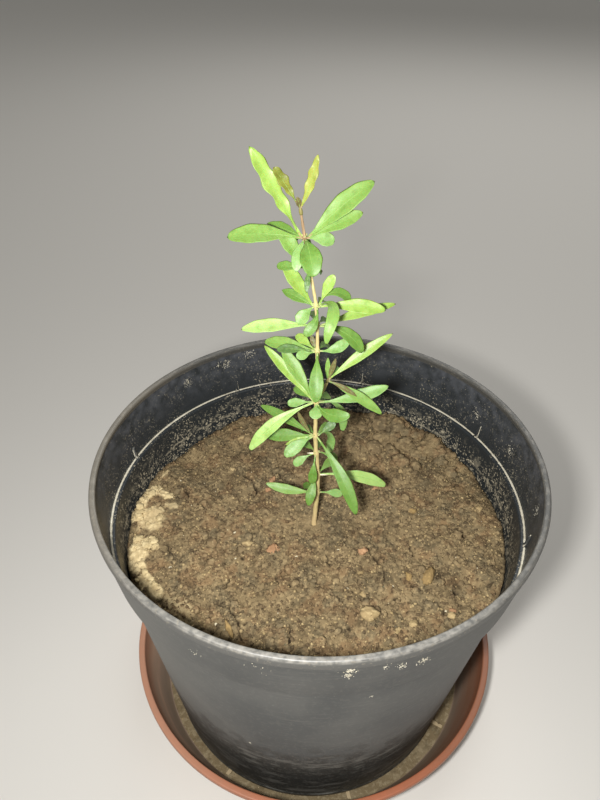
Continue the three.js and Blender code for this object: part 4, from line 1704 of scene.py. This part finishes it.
    def build(self) -> None:
        """Builds and dresses the bed, its crumbs, its clods and the bits that show one by one."""
        rng = random.Random(self.seed)
        bed = self.build_bed()
        dress(bed, [SOIL_BED])
        hand_over(self.pot.leaned(bed), "soil", "soil")
        stones = self.templates(rng)
        for kind in (
            CrumbKind("soil_crumbs", SOIL_CRUMB, 6500, (0.9, 3), 1, 0.65),
            CrumbKind("soil_dark_crumbs", SOIL_DARK, 6500, (0.9, 2.8), 1, 0.65),
            CrumbKind("soil_pale_crumbs", SOIL_PALE, 3200, (0.7, 2.2), 1, 0.65),
            CrumbKind("soil_grit", SOIL_GRIT, 45, (0.6, 1.4), 1),
            CrumbKind("soil_lumps", SOIL_CRUMB, 260, (3, 7), 2, 0.42),
        ):
            hand_over(self.pot.leaned(self.scatter(kind, rng, stones)), "soil")
        self.build_clods(rng, stones)
        for name, finish, bits in (
            ("soil_clay_chips", SOIL_CHIP, self.chips),
            ("soil_ochre_bits", SOIL_OCHRE, self.ochre_bits),
            ("soil_pale_bits", SOIL_PALE, self.pale_bits),
            ("soil_white_bits", SOIL_GRIT, self.white_bits),
        ):
            self.place_bits(name, finish, bits, rng, stones)


# Plant


class Shape(Enum):
    """Blade forms: full width, where the blade is widest, how round its tip is and how hollow its foot."""

    BROAD = (10, 0.6, 0.56, 1.05)
    LONG = (7.4, 0.62, 0.6, 1.1)
    LANCE = (5.8, 0.58, 0.68, 1.1)
    SPOON = (5.2, 0.68, 0.5, 1.15)
    ROUND = (7, 0.64, 0.5, 1.0)
    STRAP = (4.4, 0.57, 0.7, 1.0)
    SLIM = (2.8, 0.55, 0.75, 1.1)

    def half_width(self, share: float, stalk: float) -> float:
        """Gives half the blade's width at a share of its length.

        Args:
            share: 0 at the foot and 1 at the tip.
            stalk: narrowest width of the foot, as a share of the full width.

        Returns:
            The half width in millimetres.
        """
        width, widest, tip, foot = self.value
        power = math.log(0.5) / math.log(widest)
        bulge = max(0.0, math.sin(math.pi * min(1.0, share) ** power))
        if share < widest:
            return width / 2 * max(stalk, bulge**foot)
        return width / 2 * bulge**tip


@dataclass(frozen=True)
class Leaf:
    """One leaf: its form, length, turn about the stem, rise at its foot, droop to its tip, tint and veer.

    Attributes:
        shape: the blade's form.
        length: along the midrib, in millimetres.
        turn: 0 is +X, 90 is away, 180 is -X and 270 is towards the viewer.
        rise: degrees above the level at its foot.
        droop: degrees that it bends down on the way to its tip.
        tint: its colour.
        veer: degrees that it swings round on the way.
        wave: how far its margin waves up and down, in millimetres.
    """

    shape: Shape
    length: float
    turn: float
    rise: float
    droop: float
    tint: Tint
    veer: float = 0
    wave: float = 0.12


@dataclass(frozen=True)
class Whorl:
    """Leaves and thorns that grow from one node of the stem, and how many more the seeded rule adds."""

    name: str
    height: float
    leaves: tuple[Leaf, ...]
    thorns: tuple[Pair, ...] = ()
    fill: int = 2


WHORLS = (
    Whorl("foliage_1", 28, fill=1, leaves=(
        Leaf(Shape.LANCE, 30, 170, -12, -30, Tint.BRIGHT), Leaf(Shape.SPOON, 14, 10, -10, 10, Tint.PALE),
    )),
    Whorl("foliage_2", 43, thorns=((350, 4),), leaves=(
        Leaf(Shape.LONG, 43, 8, -1, 38, Tint.LUCID), Leaf(Shape.LANCE, 18, 249, -24, 48, Tint.MID),
    )),
    Whorl("foliage_3", 60, thorns=((190, 3.5),), leaves=(
        Leaf(Shape.SPOON, 13, 197, -15, 30, Tint.PALE), Leaf(Shape.SPOON, 18, 257, -50, 40, Tint.MID),
        Leaf(Shape.SPOON, 17, 30, -35, 20, Tint.PALE),
    )),
    Whorl("foliage_4", 73, leaves=(
        Leaf(Shape.LANCE, 37, 147, 13, 12, Tint.MID), Leaf(Shape.SLIM, 17, 155, 44, -28, Tint.TAWNY),
        Leaf(Shape.LONG, 27, 172, -5, 8, Tint.MID), Leaf(Shape.SLIM, 16, 186, -10, 22, Tint.SUNLIT),
        Leaf(Shape.LONG, 19, 208, -10, 32, Tint.PALE), Leaf(Shape.LONG, 49, 309, -22, 42, Tint.MID),
        Leaf(Shape.SPOON, 12, 20, 40, 8, Tint.SHADE_GREEN), Leaf(Shape.SPOON, 29, 52, -14, 104, Tint.PALE),
    )),
    Whorl("foliage_5", 97, leaves=(
        Leaf(Shape.LANCE, 40, 150, 41, 4, Tint.SUNLIT), Leaf(Shape.LONG, 33, 138, 50, 12, Tint.BRIGHT),
        Leaf(Shape.SPOON, 14, 175, -4, 12, Tint.PALE), Leaf(Shape.SPOON, 15, 137, 10, 12, Tint.MID),
        Leaf(Shape.LONG, 45, 199, -12, 46, Tint.LUCID), Leaf(Shape.ROUND, 8.5, 268, -20, 20, Tint.PALE),
        Leaf(Shape.LONG, 38, 6, 2, -24, Tint.PALE), Leaf(Shape.LONG, 22, 292, -7, -26, Tint.MID, 74),
        Leaf(Shape.SPOON, 38, 38, -20, 84, Tint.PALE),
    )),
    Whorl("foliage_6", 130, leaves=(
        Leaf(Shape.LONG, 27, 164, 8, 16, Tint.BRIGHT), Leaf(Shape.SPOON, 19, 182, 12, 18, Tint.SHADE_GREEN),
        Leaf(Shape.SPOON, 10, 208, 8, 22, Tint.PALE), Leaf(Shape.SPOON, 13, 142, 22, 6, Tint.SUNLIT),
        Leaf(Shape.SLIM, 8, 120, 48, 0, Tint.TAWNY), Leaf(Shape.LANCE, 17, 8, -8, -70, Tint.PALE),
        Leaf(Shape.LONG, 26, 269, -25, 48, Tint.MID),
    )),
    Whorl("foliage_7", 145, thorns=((200, 3),), leaves=(
        Leaf(Shape.LANCE, 39, 14, 15, 8, Tint.SUNLIT), Leaf(Shape.LONG, 27, 352, 4, 76, Tint.MID),
        Leaf(Shape.LONG, 36, 186, 9, 20, Tint.LUCID),
    )),
    Whorl("foliage_8", 156, leaves=(
        Leaf(Shape.SPOON, 17, 22, 70, 12, Tint.SUNLIT), Leaf(Shape.SPOON, 21, 44, 58, 130, Tint.MID, -50),
        Leaf(Shape.LANCE, 34, 329, 54, 150, Tint.BRIGHT, -122),
        Leaf(Shape.LONG, 32, 356, 9, 20, Tint.SUNLIT), Leaf(Shape.SPOON, 16, 284, -30, 20, Tint.MID, -100),
        Leaf(Shape.LANCE, 17, 160, 24, 12, Tint.MID), Leaf(Shape.ROUND, 11, 216, -14, 50, Tint.PALE),
        Leaf(Shape.LONG, 24, 158, 53, 6, Tint.SUNLIT),
    )),
    Whorl("foliage_9", 176, thorns=((10, 4),), leaves=(
        Leaf(Shape.LONG, 21, 155, 50, 4, Tint.BRIGHT), Leaf(Shape.SPOON, 14, 172, 6, 14, Tint.MID),
        Leaf(Shape.SLIM, 11, 262, -30, 40, Tint.SHADE_GREEN),
    )),
    Whorl("foliage_10", 191, leaves=(
        Leaf(Shape.LONG, 45, 168, 61, 3, Tint.SUNLIT, wave=0.8),
        Leaf(Shape.BROAD, 34, 179, 11, 24, Tint.BRIGHT), Leaf(Shape.LANCE, 20, 148, 14, 20, Tint.MID),
        Leaf(Shape.BROAD, 38, 12, 46, 14, Tint.BRIGHT), Leaf(Shape.LONG, 27, 14, 24, 6, Tint.BRIGHT),
        Leaf(Shape.ROUND, 12, 0, 0, 14, Tint.PALE), Leaf(Shape.BROAD, 20, 284, -4, 62, Tint.MID),
        Leaf(Shape.LANCE, 16, 253, -20, 50, Tint.PALE),
    )),
)

TIP_LEAVES = (
    Leaf(Shape.SPOON, 21, 165, 58, 6, Tint.DUSKY, wave=0.5),
    Leaf(Shape.STRAP, 25, 0, 66, -14, Tint.YOUNG, wave=0.5), Leaf(Shape.SLIM, 6, 200, 74, 0, Tint.TAWNY),
)

SIDE_LEAVES = (
    Leaf(Shape.LANCE, 42, 18, 38, 10, Tint.SUNLIT), Leaf(Shape.SPOON, 11, 60, 20, 12, Tint.SHADE_GREEN),
    Leaf(Shape.LANCE, 35, 348, -20, 20, Tint.BRIGHT), Leaf(Shape.SLIM, 18, 345, -14, 20, Tint.TAWNY),
    Leaf(Shape.SLIM, 13, 90, 78, 0, Tint.BRIGHT), Leaf(Shape.SLIM, 14, 20, 68, -8, Tint.TAWNY),
)


@dataclass(frozen=True)
class FillRule:
    """The seeded rule that adds leaves on the side of the plant that the photograph hides."""

    seed: int = 20511
    turn: Pair = (58, 122)
    rise: Pair = (-24, -4)
    droop: Pair = (20, 50)
    length: Pair = (16, 32)
    lance_from: float = 22
    tries: int = 40
    clear: float = 3.4
    crowded: int = 3
    stations: int = 8
    factor: int = 16807
    modulus: int = 2147483647

    def draws(self) -> Iterator[float]:
        """Draws the rule's random numbers, always the same ones.

        Yields:
            The next number between 0 and 1.
        """
        state = self.seed
        while True:
            state = state * self.factor % self.modulus
            yield state / self.modulus


@dataclass
class Midrib:
    """The line that a leaf is built along: where it starts, its leaf, and its points and directions."""

    start: Vector
    leaf: Leaf
    points: list[Vector]
    along: list[Vector]


@dataclass
class Stem:
    """The main stem: its path, its taper and its root flare."""

    level: float = 157.3
    foot_radius: float = 1.8
    radius: float = 1.6
    tip_radius: float = 0.75
    flare: float = 7
    sides: int = 20
    stations: int = 230
    path: tuple[Triple, ...] = (
        (-2, -3, 0), (-0.2, -3, 38), (-2, -3, 73), (-1.5, -3, 115), (-2.5, -3, 155), (-6, -3, 177),
        (-9.8, -3, 203),
    )

    @property
    def height(self) -> float:
        """Gives the tip's height over the stem's foot."""
        return self.path[-1][2]

    def curve(self, share: float) -> Vector:
        """Gives a point of the smooth curve through the path, where share runs from 0 to 1.

        Args:
            share: how far along the curve, evenly from path point to path point.

        Returns:
            The point, on a centripetal Catmull-Rom curve.
        """
        knots = [Vector((x, y, self.level + height)) for x, y, height in self.path]
        reach = (len(knots) - 1) * share
        index = min(int(reach), len(knots) - 2)
        weight = reach - index
        before = knots[index - 1] if index else knots[0] * 2 - knots[1]
        after = knots[index + 2] if index + 2 < len(knots) else knots[-1] * 2 - knots[-2]
        start, end = knots[index], knots[index + 1]
        spans = ((before, start), (start, end), (end, after))
        first, middle, last = (math.sqrt((b - a).length) for a, b in spans)
        leave = (start - before) / first - (end - before) / (first + middle) + (end - start) / middle
        arrive = (end - start) / middle - (after - start) / (middle + last) + (after - end) / last
        leave, arrive = leave * middle, arrive * middle
        square, cube = weight**2, weight**3
        return (
            start * (2 * cube - 3 * square + 1)
            + leave * (cube - 2 * square + weight)
            + end * (3 * square - 2 * cube)
            + arrive * (cube - square)
        )

    def at(self, height: float) -> tuple[Vector, Vector]:
        """Gives the stem's centre and direction at a height over its foot.

        Args:
            height: millimetres over the foot.

        Returns:
            The point and the unit direction.
        """
        low, high = 0.0, 1.0
        for _ in range(40):
            middle = (low + high) / 2
            if self.curve(middle).z < self.level + height:
                low = middle
            else:
                high = middle
        step = 0.0001
        along = self.curve(min(1, low + step)) - self.curve(max(0, low - step))
        return self.curve(low), along.normalized()

    def radius_at(self, height: float) -> float:
        """Gives the stem's radius at a height over its foot, with its taper and root flare."""
        taper = self.radius + (self.tip_radius - self.radius) * height / self.height
        return taper + (self.foot_radius - self.radius) * math.exp(-height / (self.flare / 2))

    def swelling(self, height: float, nodes: Sequence[float]) -> float:
        """Gives how much wider the stem is at a height for the nodes that bear its whorls."""
        return sum(0.45 * math.exp(-(((height - node) / 1.7) ** 2)) for node in nodes)

    def build(self, nodes: Sequence[float]) -> None:
        """Draws the stem out from a ring at its foot, with swollen nodes, and gives its bark relief.

        Args:
            nodes: heights of the whorls over the stem's foot.
        """
        rings = [(self.at(0)[0], self.radius_at(0))]
        for step in range(1, self.stations + 1):
            height = self.height * step / self.stations
            rings.append((self.at(height)[0], self.radius_at(height) + self.swelling(height, nodes)))
        stem = drawn("stem_bark", [*rings, rings[-1]], self.sides)
        for vertex in stem.data.vertices:
            place = vertex.co / MM
            fibre = noise.noise(Vector((place.x * 1.6, place.y * 1.6, place.z * 0.22)))
            knot = noise.noise(place * 0.5)
            vertex.co += vertex.normal * (0.13 * fibre + 0.12 * knot - 0.15) * MM
        smooth(stem, 60)
        dress(stem, [STEM_BARK])
        hand_over(stem, "bark", "main_stem")


@dataclass
class SideShoot:
    """The short shoot on the stem's right side."""

    stem: Stem
    join_height: float = 103
    tip: Triple = (3.6, -1.4, 109.2)
    radius: float = 1.1
    tip_radius: float = 0.8
    slant: float = 0.75
    bow: float = 0.8
    gap: float = 0.3

    @property
    def end(self) -> Vector:
        """Gives the shoot's tip."""
        return Vector((self.tip[0], self.tip[1], self.stem.level + self.tip[2]))

    def route(self) -> tuple[Vector, Vector, Vector]:
        """Gives the foot, the bend and the tip of the shoot's curve.

        Returns:
            The three points.
        """
        point, _ = self.stem.at(self.join_height)
        out = self.end - point
        out.z = 0
        out.normalize()
        clear = self.stem.radius_at(self.join_height) + self.gap + self.radius * self.slant
        foot = point + out * clear
        return foot, foot.lerp(self.end, 0.5) + out * self.bow, self.end

    def direction(self) -> Vector:
        """Gives the direction of the shoot at its tip."""
        _, bend, tip = self.route()
        return (tip - bend).normalized()

    def build(self) -> None:
        """Builds the shoot from its foot, which is sunk into the stem's node, to its tip."""
        foot, bend, tip = self.route()
        inward = (self.stem.at(self.join_height)[0] - foot) * 0.7
        heap = Heap()
        rings = [ring_round(foot + inward, (bend - foot).normalized(), self.radius * 1.25, 16)]
        for step in range(25):
            share = step / 24
            point = foot.lerp(bend, share).lerp(bend.lerp(tip, share), share)
            along = (foot.lerp(bend, share) - bend.lerp(tip, share)).normalized() * -1
            lumps = 1 + 0.1 * noise.noise(point * 0.9)
            radius = (self.radius + (self.tip_radius - self.radius) * share) * lumps
            rings.append(ring_round(point, along, radius, 16))
        heap.add_rings(rings)
        hand_over(heap.piece("side_shoot_bark", STEM_BARK), "bark", "side_shoot")


@dataclass
class Foliage:
    """The leaves, their stalks and midribs, the thorns and the buds."""

    stem: Stem
    shoot: SideShoot
    rule: FillRule = field(default_factory=FillRule)
    light: Vector = field(default_factory=lambda: Vector((0.05, -0.62, 0.78)).normalized())
    gap: float = 0.3
    collar: float = 1.1
    root: float = 0.6
    stalk: float = 0.16
    fold: float = 0.22
    stations: int = 30
    thickness: float = 0.42
    edge: float = 0.14
    midrib_span: Pair = (0.1, 0.86)
    midrib_tip: float = 0.06
    foot_radii: tuple[float, ...] = (0.54636, 0.43332, 0.35796, 0.30144)
    bud_seat: float = 0.35
    tip_bud: float = 3.6
    side_bud: float = 3
    seed: int = 733

    def midrib(self, centre: Vector, start_radius: float, leaf: Leaf, stations: int) -> Midrib:
        """Works out a leaf's midrib: it leaves its limb at its rise, and droops and veers evenly to its tip.

        Args:
            centre: the middle of the limb where the leaf grows.
            start_radius: how far from it the leaf starts.
            leaf: the leaf.
            stations: steps along it.

        Returns:
            The midrib.
        """
        turn = math.radians(leaf.turn)
        cursor = centre + outwards(turn) * start_radius
        points, along = [], []
        for index in range(stations + 1):
            share = index / stations
            pitch = math.radians(leaf.rise - leaf.droop * share)
            turn = math.radians(leaf.turn + leaf.veer * share)
            flat = math.cos(pitch)
            heading = Vector((math.cos(turn) * flat, math.sin(turn) * flat, math.sin(pitch)))
            points.append(cursor.copy())
            along.append(heading)
            cursor = cursor + heading * (leaf.length / stations)
        return Midrib(centre, leaf, points, along)

    def grow(self) -> list[tuple[str, list[Midrib]]]:
        """Grows every mass: the leaves of the table, then those that the seeded rule adds.

        Returns:
            For each mass its node's name and its midribs.
        """
        coarse = self.rule.stations
        seats = []
        placed: list[Midrib] = []
        for whorl in WHORLS:
            point, _ = self.stem.at(whorl.height)
            start = self.stem.radius_at(whorl.height) + self.gap + self.collar - self.root
            seats.append((whorl, point, start))
            placed += [self.midrib(point, start, leaf, coarse) for leaf in whorl.leaves]
        tip, tip_along = self.stem.at(self.stem.height)
        ends = []
        for name, leaves, foot, along, bud in (
            ("foliage_tip", TIP_LEAVES, tip, tip_along, self.tip_bud),
            ("foliage_side", SIDE_LEAVES, self.shoot.end, self.shoot.direction(), self.side_bud),
        ):
            seat = foot + along * (self.gap + bud * self.bud_seat)
            ends.append((name, [self.midrib(seat, 0, leaf, self.stations) for leaf in leaves]))
            placed += [self.midrib(seat, 0, leaf, coarse) for leaf in leaves]

        draws = self.rule.draws()
        masses = []
        for whorl, point, start in seats:
            leaves = [*whorl.leaves, *self.fill(whorl, point, start, placed, draws)]
            masses.append((whorl.name, [self.midrib(point, start, leaf, self.stations) for leaf in leaves]))
        return masses + ends

    def fill(
        self, whorl: Whorl, point: Vector, start: float, placed: list[Midrib], draws: Iterator[float]
    ) -> list[Leaf]:
        """Adds leaves to one whorl by the seeded rule, and skips each that comes too near another.

        Args:
            whorl: the whorl that is filled.
            point: the stem's middle there.
            start: where its leaves start.
            placed: all midribs so far, to which the new ones are added.
            draws: the rule's random numbers.

        Returns:
            The new leaves.
        """
        rule = self.rule
        added: list[Leaf] = []
        for _ in range(rule.tries):
            if len(added) >= whorl.fill:
                break
            length, turn, rise, droop = (
                low + (high - low) * next(draws)
                for low, high in (rule.length, rule.turn, rule.rise, rule.droop)
            )
            shape = Shape.LANCE if length > rule.lance_from else Shape.SPOON
            tint = (Tint.MID, Tint.BRIGHT, Tint.PALE)[int(length) % 3]
            leaf = Leaf(shape, length, turn, rise, droop, tint)
            rib = self.midrib(point, start, leaf, rule.stations)
            near = min(
                (a - b).length
                for other in placed
                for a in rib.points[rule.crowded :]
                for b in other.points[rule.crowded :]
            )
            if near > rule.clear:
                placed.append(rib)
                added.append(leaf)
        return added

    def section(self, rib: Midrib, index: int) -> tuple[Vector, Vector, float]:
        """Gives a blade's upper direction, its sideways direction and its half width at a station.

        Args:
            rib: the leaf's midrib.
            index: the station.

        Returns:
            The two directions and the half width.
        """
        along = rib.along[index]
        face = (self.light - along * self.light.dot(along)).normalized()
        side = face.cross(along).normalized()
        return face, side, rib.leaf.shape.half_width(index / self.stations, self.stalk)

    def add_blade(self, heap: Heap, rib: Midrib, phase: float) -> None:
        """Adds a thin closed blade: a folded upper skin with faint side veins, and a flatter underside.

        Args:
            heap: the leaves of its tint.
            rib: its midrib.
            phase: where its waves start, so that no two leaves are alike.
        """
        across = (-1, -0.86, -0.6, -0.3, 0, 0.3, 0.6, 0.86, 1)
        corners: list[Vector] = []
        last = self.stations - 1
        for index in range(self.stations):
            share = index / self.stations
            face, side, half = self.section(rib, index)
            curl = 0.1 * math.sin(phase + 2.2 * share) * half
            rows: list[list[Vector]] = [[], []]
            for u in across:
                rise = self.fold * half * (math.sqrt(u * u + 0.05) - math.sqrt(0.05)) * 1.2
                wave = rib.leaf.wave * u * u * math.sin(phase + share * 21 + 1.3 * math.copysign(1, u))
                vein = 0.05 * math.sin((share * rib.leaf.length - abs(u) * half * 0.8) * 2.6) * (1 - u**4)
                width = half * u * (1 + 0.035 * rib.leaf.wave * 6 * math.sin(phase * 2 + share * 27) * abs(u))
                middle = rib.points[index] + side * width + face * (rise + wave + curl * u)
                thick = self.edge + (self.thickness - self.edge) * (1 - u * u)
                thick = thick / 2 * min(1.0, 0.35 + half / 1.5)
                rows[0].append(middle + face * (thick + vein))
                rows[1].append(middle - face * thick)
            corners += rows[0] + rows[1][-2:0:-1]
        sides = 2 * len(across) - 2
        upper = len(across) - 1
        faces: Faces = [tuple(range(sides))]
        slots = [1]
        for row in range(last):
            for side_index in range(sides):
                low = row * sides + side_index
                next_low = row * sides + (side_index + 1) % sides
                faces.append((low, low + sides, next_low + sides, next_low))
                slots.append(0 if side_index < upper else 1)
        corners.append(rib.points[-1])
        tip = len(corners) - 1
        for side_index in range(sides):
            low = last * sides + side_index
            next_low = last * sides + (side_index + 1) % sides
            faces.append((low, tip, next_low))
            slots.append(0 if side_index < upper else 1)
        heap.add(corners, faces, slots)

    def add_rib(self, heap: Heap, rib: Midrib) -> None:
        """Adds the raised midrib as a fine tube in the fold of the blade.

        Args:
            heap: the midribs.
            rib: the leaf's midrib.
        """
        first, last = (round(end * self.stations) for end in self.midrib_span)
        thick_end = 0.14 + 0.015 * rib.leaf.shape.value[0]
        rings = []
        for index in range(first, last + 1):
            radius = thick_end + (self.midrib_tip - thick_end) * (index - first) / (last - first)
            face, side, half = self.section(rib, index)
            thick = self.thickness / 2 * min(1.0, 0.35 + half / 1.5)
            centre = rib.points[index] + face * (thick - radius * 0.55)
            ring = []
            for step in range(6):
                turn = 2 * math.pi * step / 6
                ring.append(centre + side * (radius * math.cos(turn)) - face * (radius * math.sin(turn)))
            rings.append(ring)
        heap.add_rings(rings)

    def add_foot(self, heap: Heap, rib: Midrib) -> None:
        """Adds the swollen foot of a leaf's stalk, from inside the limb's bark out to the blade.

        Args:
            heap: the stalks.
            rib: the leaf's midrib.
        """
        way = [rib.start.lerp(rib.points[0], 0.35), *rib.points[:3]]
        rings = []
        for index, (point, radius) in enumerate(zip(way, self.foot_radii)):
            along = (way[min(index + 1, 3)] - way[max(index - 1, 0)]).normalized()
            rings.append(ring_round(point, along, radius, 8))
        heap.add_rings(rings)

    def add_spike(
        self, heap: Heap, foot: Vector, tip: Vector, radius: float, swell: float, sides: int
    ) -> None:
        """Adds a thorn or a bud: a tapering point that may swell before it narrows.

        Args:
            heap: the thorns or buds.
            foot: its start.
            tip: its point.
            radius: its radius at the foot.
            swell: how much wider it is a third of the way along.
            sides: faces round it.
        """
        along = (tip - foot).normalized()
        rings = []
        widths = ((0, 1), (0.15, 1 + (swell - 1) * 0.6), (0.35, swell), (0.6, 0.75 * swell), (0.85, 0.3))
        for share, width in widths:
            rings.append(ring_round(foot.lerp(tip, share), along, radius * width, sides))
        rings.append(ring_round(tip, along, radius * 0.06, sides))
        heap.add_rings(rings)

    def build(self) -> None:
        """Builds the leaves by tint, and the midribs, stalks, thorns and buds, each kind as one piece."""
        rng = random.Random(self.seed)
        blades = {tint: Heap() for tint in Tint}
        nodes: dict[Tint, list[str]] = {tint: [] for tint in Tint}
        midribs, stalks, pink_stalks, thorns, buds, tips = (Heap() for _ in range(6))
        owned: set[str] = set()
        for name, ribs in self.grow():
            tender = name in ("foliage_tip", "foliage_10", "foliage_side")
            for rib in ribs:
                self.add_blade(blades[rib.leaf.tint], rib, rng.uniform(0, 6.28))
                self.add_rib(midribs, rib)
                self.add_foot(pink_stalks if tender else stalks, rib)
                if name not in owned:
                    nodes[rib.leaf.tint].append(name)
                    owned.add(name)
        for whorl in WHORLS:
            point, along = self.stem.at(whorl.height)
            radius = self.stem.radius_at(whorl.height)
            for turn, length in whorl.thorns:
                out = outwards(math.radians(turn), 0.15).normalized()
                foot = point + out * (radius * 0.5)
                tip = point + out * (radius + self.gap + self.collar - self.root + length)
                self.add_spike(thorns, foot, tip, 0.45, 1, 8)
            for turn in (60, 180, 300):
                out = outwards(math.radians(turn + whorl.height * 37), 0.7).normalized()
                foot = point + out * (radius * 0.6) + along * 0.6
                self.add_spike(buds, foot, foot + out * 1.8, 0.42, 1.25, 8)
        tip, along = self.stem.at(self.stem.height)
        reach = self.gap + self.tip_bud
        self.add_spike(tips, tip - along, tip + along * reach, self.stem.tip_radius, 1.2, 10)
        end, way = self.shoot.end, self.shoot.direction()
        self.add_spike(tips, end - way * 0.5, end + way * (self.gap + self.side_bud), 0.7, 1.25, 10)

        for tint, heap in blades.items():
            if not heap.faces:
                continue
            young = tint in (Tint.YOUNG, Tint.DUSKY, Tint.TAWNY)
            name, under = f"leaves_{tint.name.lower()}", PALE_UNDERSIDE if young else UNDERSIDE
            slot = "young_leaves" if young else "leaves"
            hand_over(heap.piece(name, tint.value, under), slot, *nodes[tint])
        for heap, name, finish, slot in (
            (midribs, "leaf_midribs", MIDRIB, "leaves"),
            (stalks, "leaf_stalks", PETIOLE, "leaves"),
            (pink_stalks, "young_leaf_stalks", PINK_PETIOLE, "young_leaves"),
            (thorns, "thorns", THORN_WOOD, "bark"),
            (buds, "buds", PETIOLE, "young_leaves"),
            (tips, "tip_buds", TIP_BUD, "young_leaves"),
        ):
            hand_over(heap.piece(name, finish), slot)


# Studio


@dataclass(frozen=True)
class Lamp:
    """A soft area light.

    Attributes:
        name: the light's name.
        place: where it stands, in millimetres.
        target: what it points at.
        size: its side, in millimetres.
        power: its power in watts.
    """

    name: str
    place: Triple
    target: Triple
    size: float
    power: float

    def build(self) -> None:
        """Adds the light to the scene."""
        data = bpy.data.lights.new(self.name, "AREA")
        data.size = self.size * MM
        data.energy = self.power
        light = bpy.data.objects.new(self.name, data)
        bpy.context.scene.collection.objects.link(light)
        light.location = Vector(self.place) * MM
        way = (Vector(self.target) - Vector(self.place)).normalized()
        light.rotation_euler = way.to_track_quat("-Z", "Y").to_euler()


@dataclass
class Studio:
    """A plain pale floor, soft studio light, and the camera at the photograph's angle."""

    camera_place: Triple = (0, -283.1, 474.9)
    pitch: float = 38.03
    yaw: float = -2.15
    roll: float = -0.2
    focal_pixels: float = 662.9
    picture_height: float = 800
    sensor: float = 36
    floor_size: float = 14000
    floor_finish: Finish = Finish("Pale studio paper", "#dcd8d0", 0.8)
    lamps: tuple[Lamp, ...] = (
        Lamp("key", (-36, -288, 463), (0, 0, 170), 28, 2.52),
        Lamp("back", (500, 1500, 1700), (0, 0, 150), 1500, 14),
    )
    world_colour: str = "#e6e6e4"
    world_strength: float = 0.31

    def build_camera(self) -> None:
        """Creates the camera from its place and its three angles."""
        pitch, yaw, roll = (math.radians(angle) for angle in (self.pitch, self.yaw, self.roll))
        ahead = Vector((math.sin(yaw) * math.cos(pitch), math.cos(yaw) * math.cos(pitch), -math.sin(pitch)))
        right = Vector((math.cos(yaw), -math.sin(yaw), 0))
        up = right.cross(ahead)
        right, up = right * math.cos(roll) + up * math.sin(roll), up * math.cos(roll) - right * math.sin(roll)
        data = bpy.data.cameras.new("camera")
        data.sensor_width = self.sensor
        data.lens = self.focal_pixels / self.picture_height * self.sensor
        data.clip_start = 0.01
        camera = bpy.data.objects.new("camera", data)
        bpy.context.scene.collection.objects.link(camera)
        turn = Matrix((right, up, -ahead)).transposed().to_4x4()
        camera.matrix_world = Matrix.Translation(Vector(self.camera_place) * MM) @ turn
        bpy.context.scene.camera = camera

    def build(self) -> None:
        """Builds the camera, floor, lights and world."""
        self.build_camera()
        select_none()
        bpy.ops.mesh.primitive_grid_add(x_subdivisions=8, y_subdivisions=8, size=self.floor_size * MM)
        floor = bpy.context.object
        floor.name = "studio_floor"
        floor.data.materials.append(self.floor_finish.material())
        for lamp in self.lamps:
            lamp.build()
        world = bpy.data.worlds.new("studio_world")
        world.use_nodes = True
        backdrop = world.node_tree.nodes["Background"]
        backdrop.inputs["Color"].default_value = srgb(self.world_colour)
        backdrop.inputs["Strength"].default_value = self.world_strength
        scene = bpy.context.scene
        scene.world = world
        scene.view_settings.view_transform = "Standard"
        scene.view_settings.look = "None"


def main() -> None:
    """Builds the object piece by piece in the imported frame, and the studio round it."""
    logging.basicConfig(level=logging.INFO, format="%(name)s %(message)s")
    Studio().build()
    Saucer().build()
    pot = NurseryPot()
    pot.build()
    SoilBed(pot).build()
    stem = Stem()
    shoot = SideShoot(stem)
    stem.build([*(whorl.height for whorl in WHORLS), shoot.join_height])
    shoot.build()
    Foliage(stem, shoot).build()


if __name__ == "__main__":
    main()
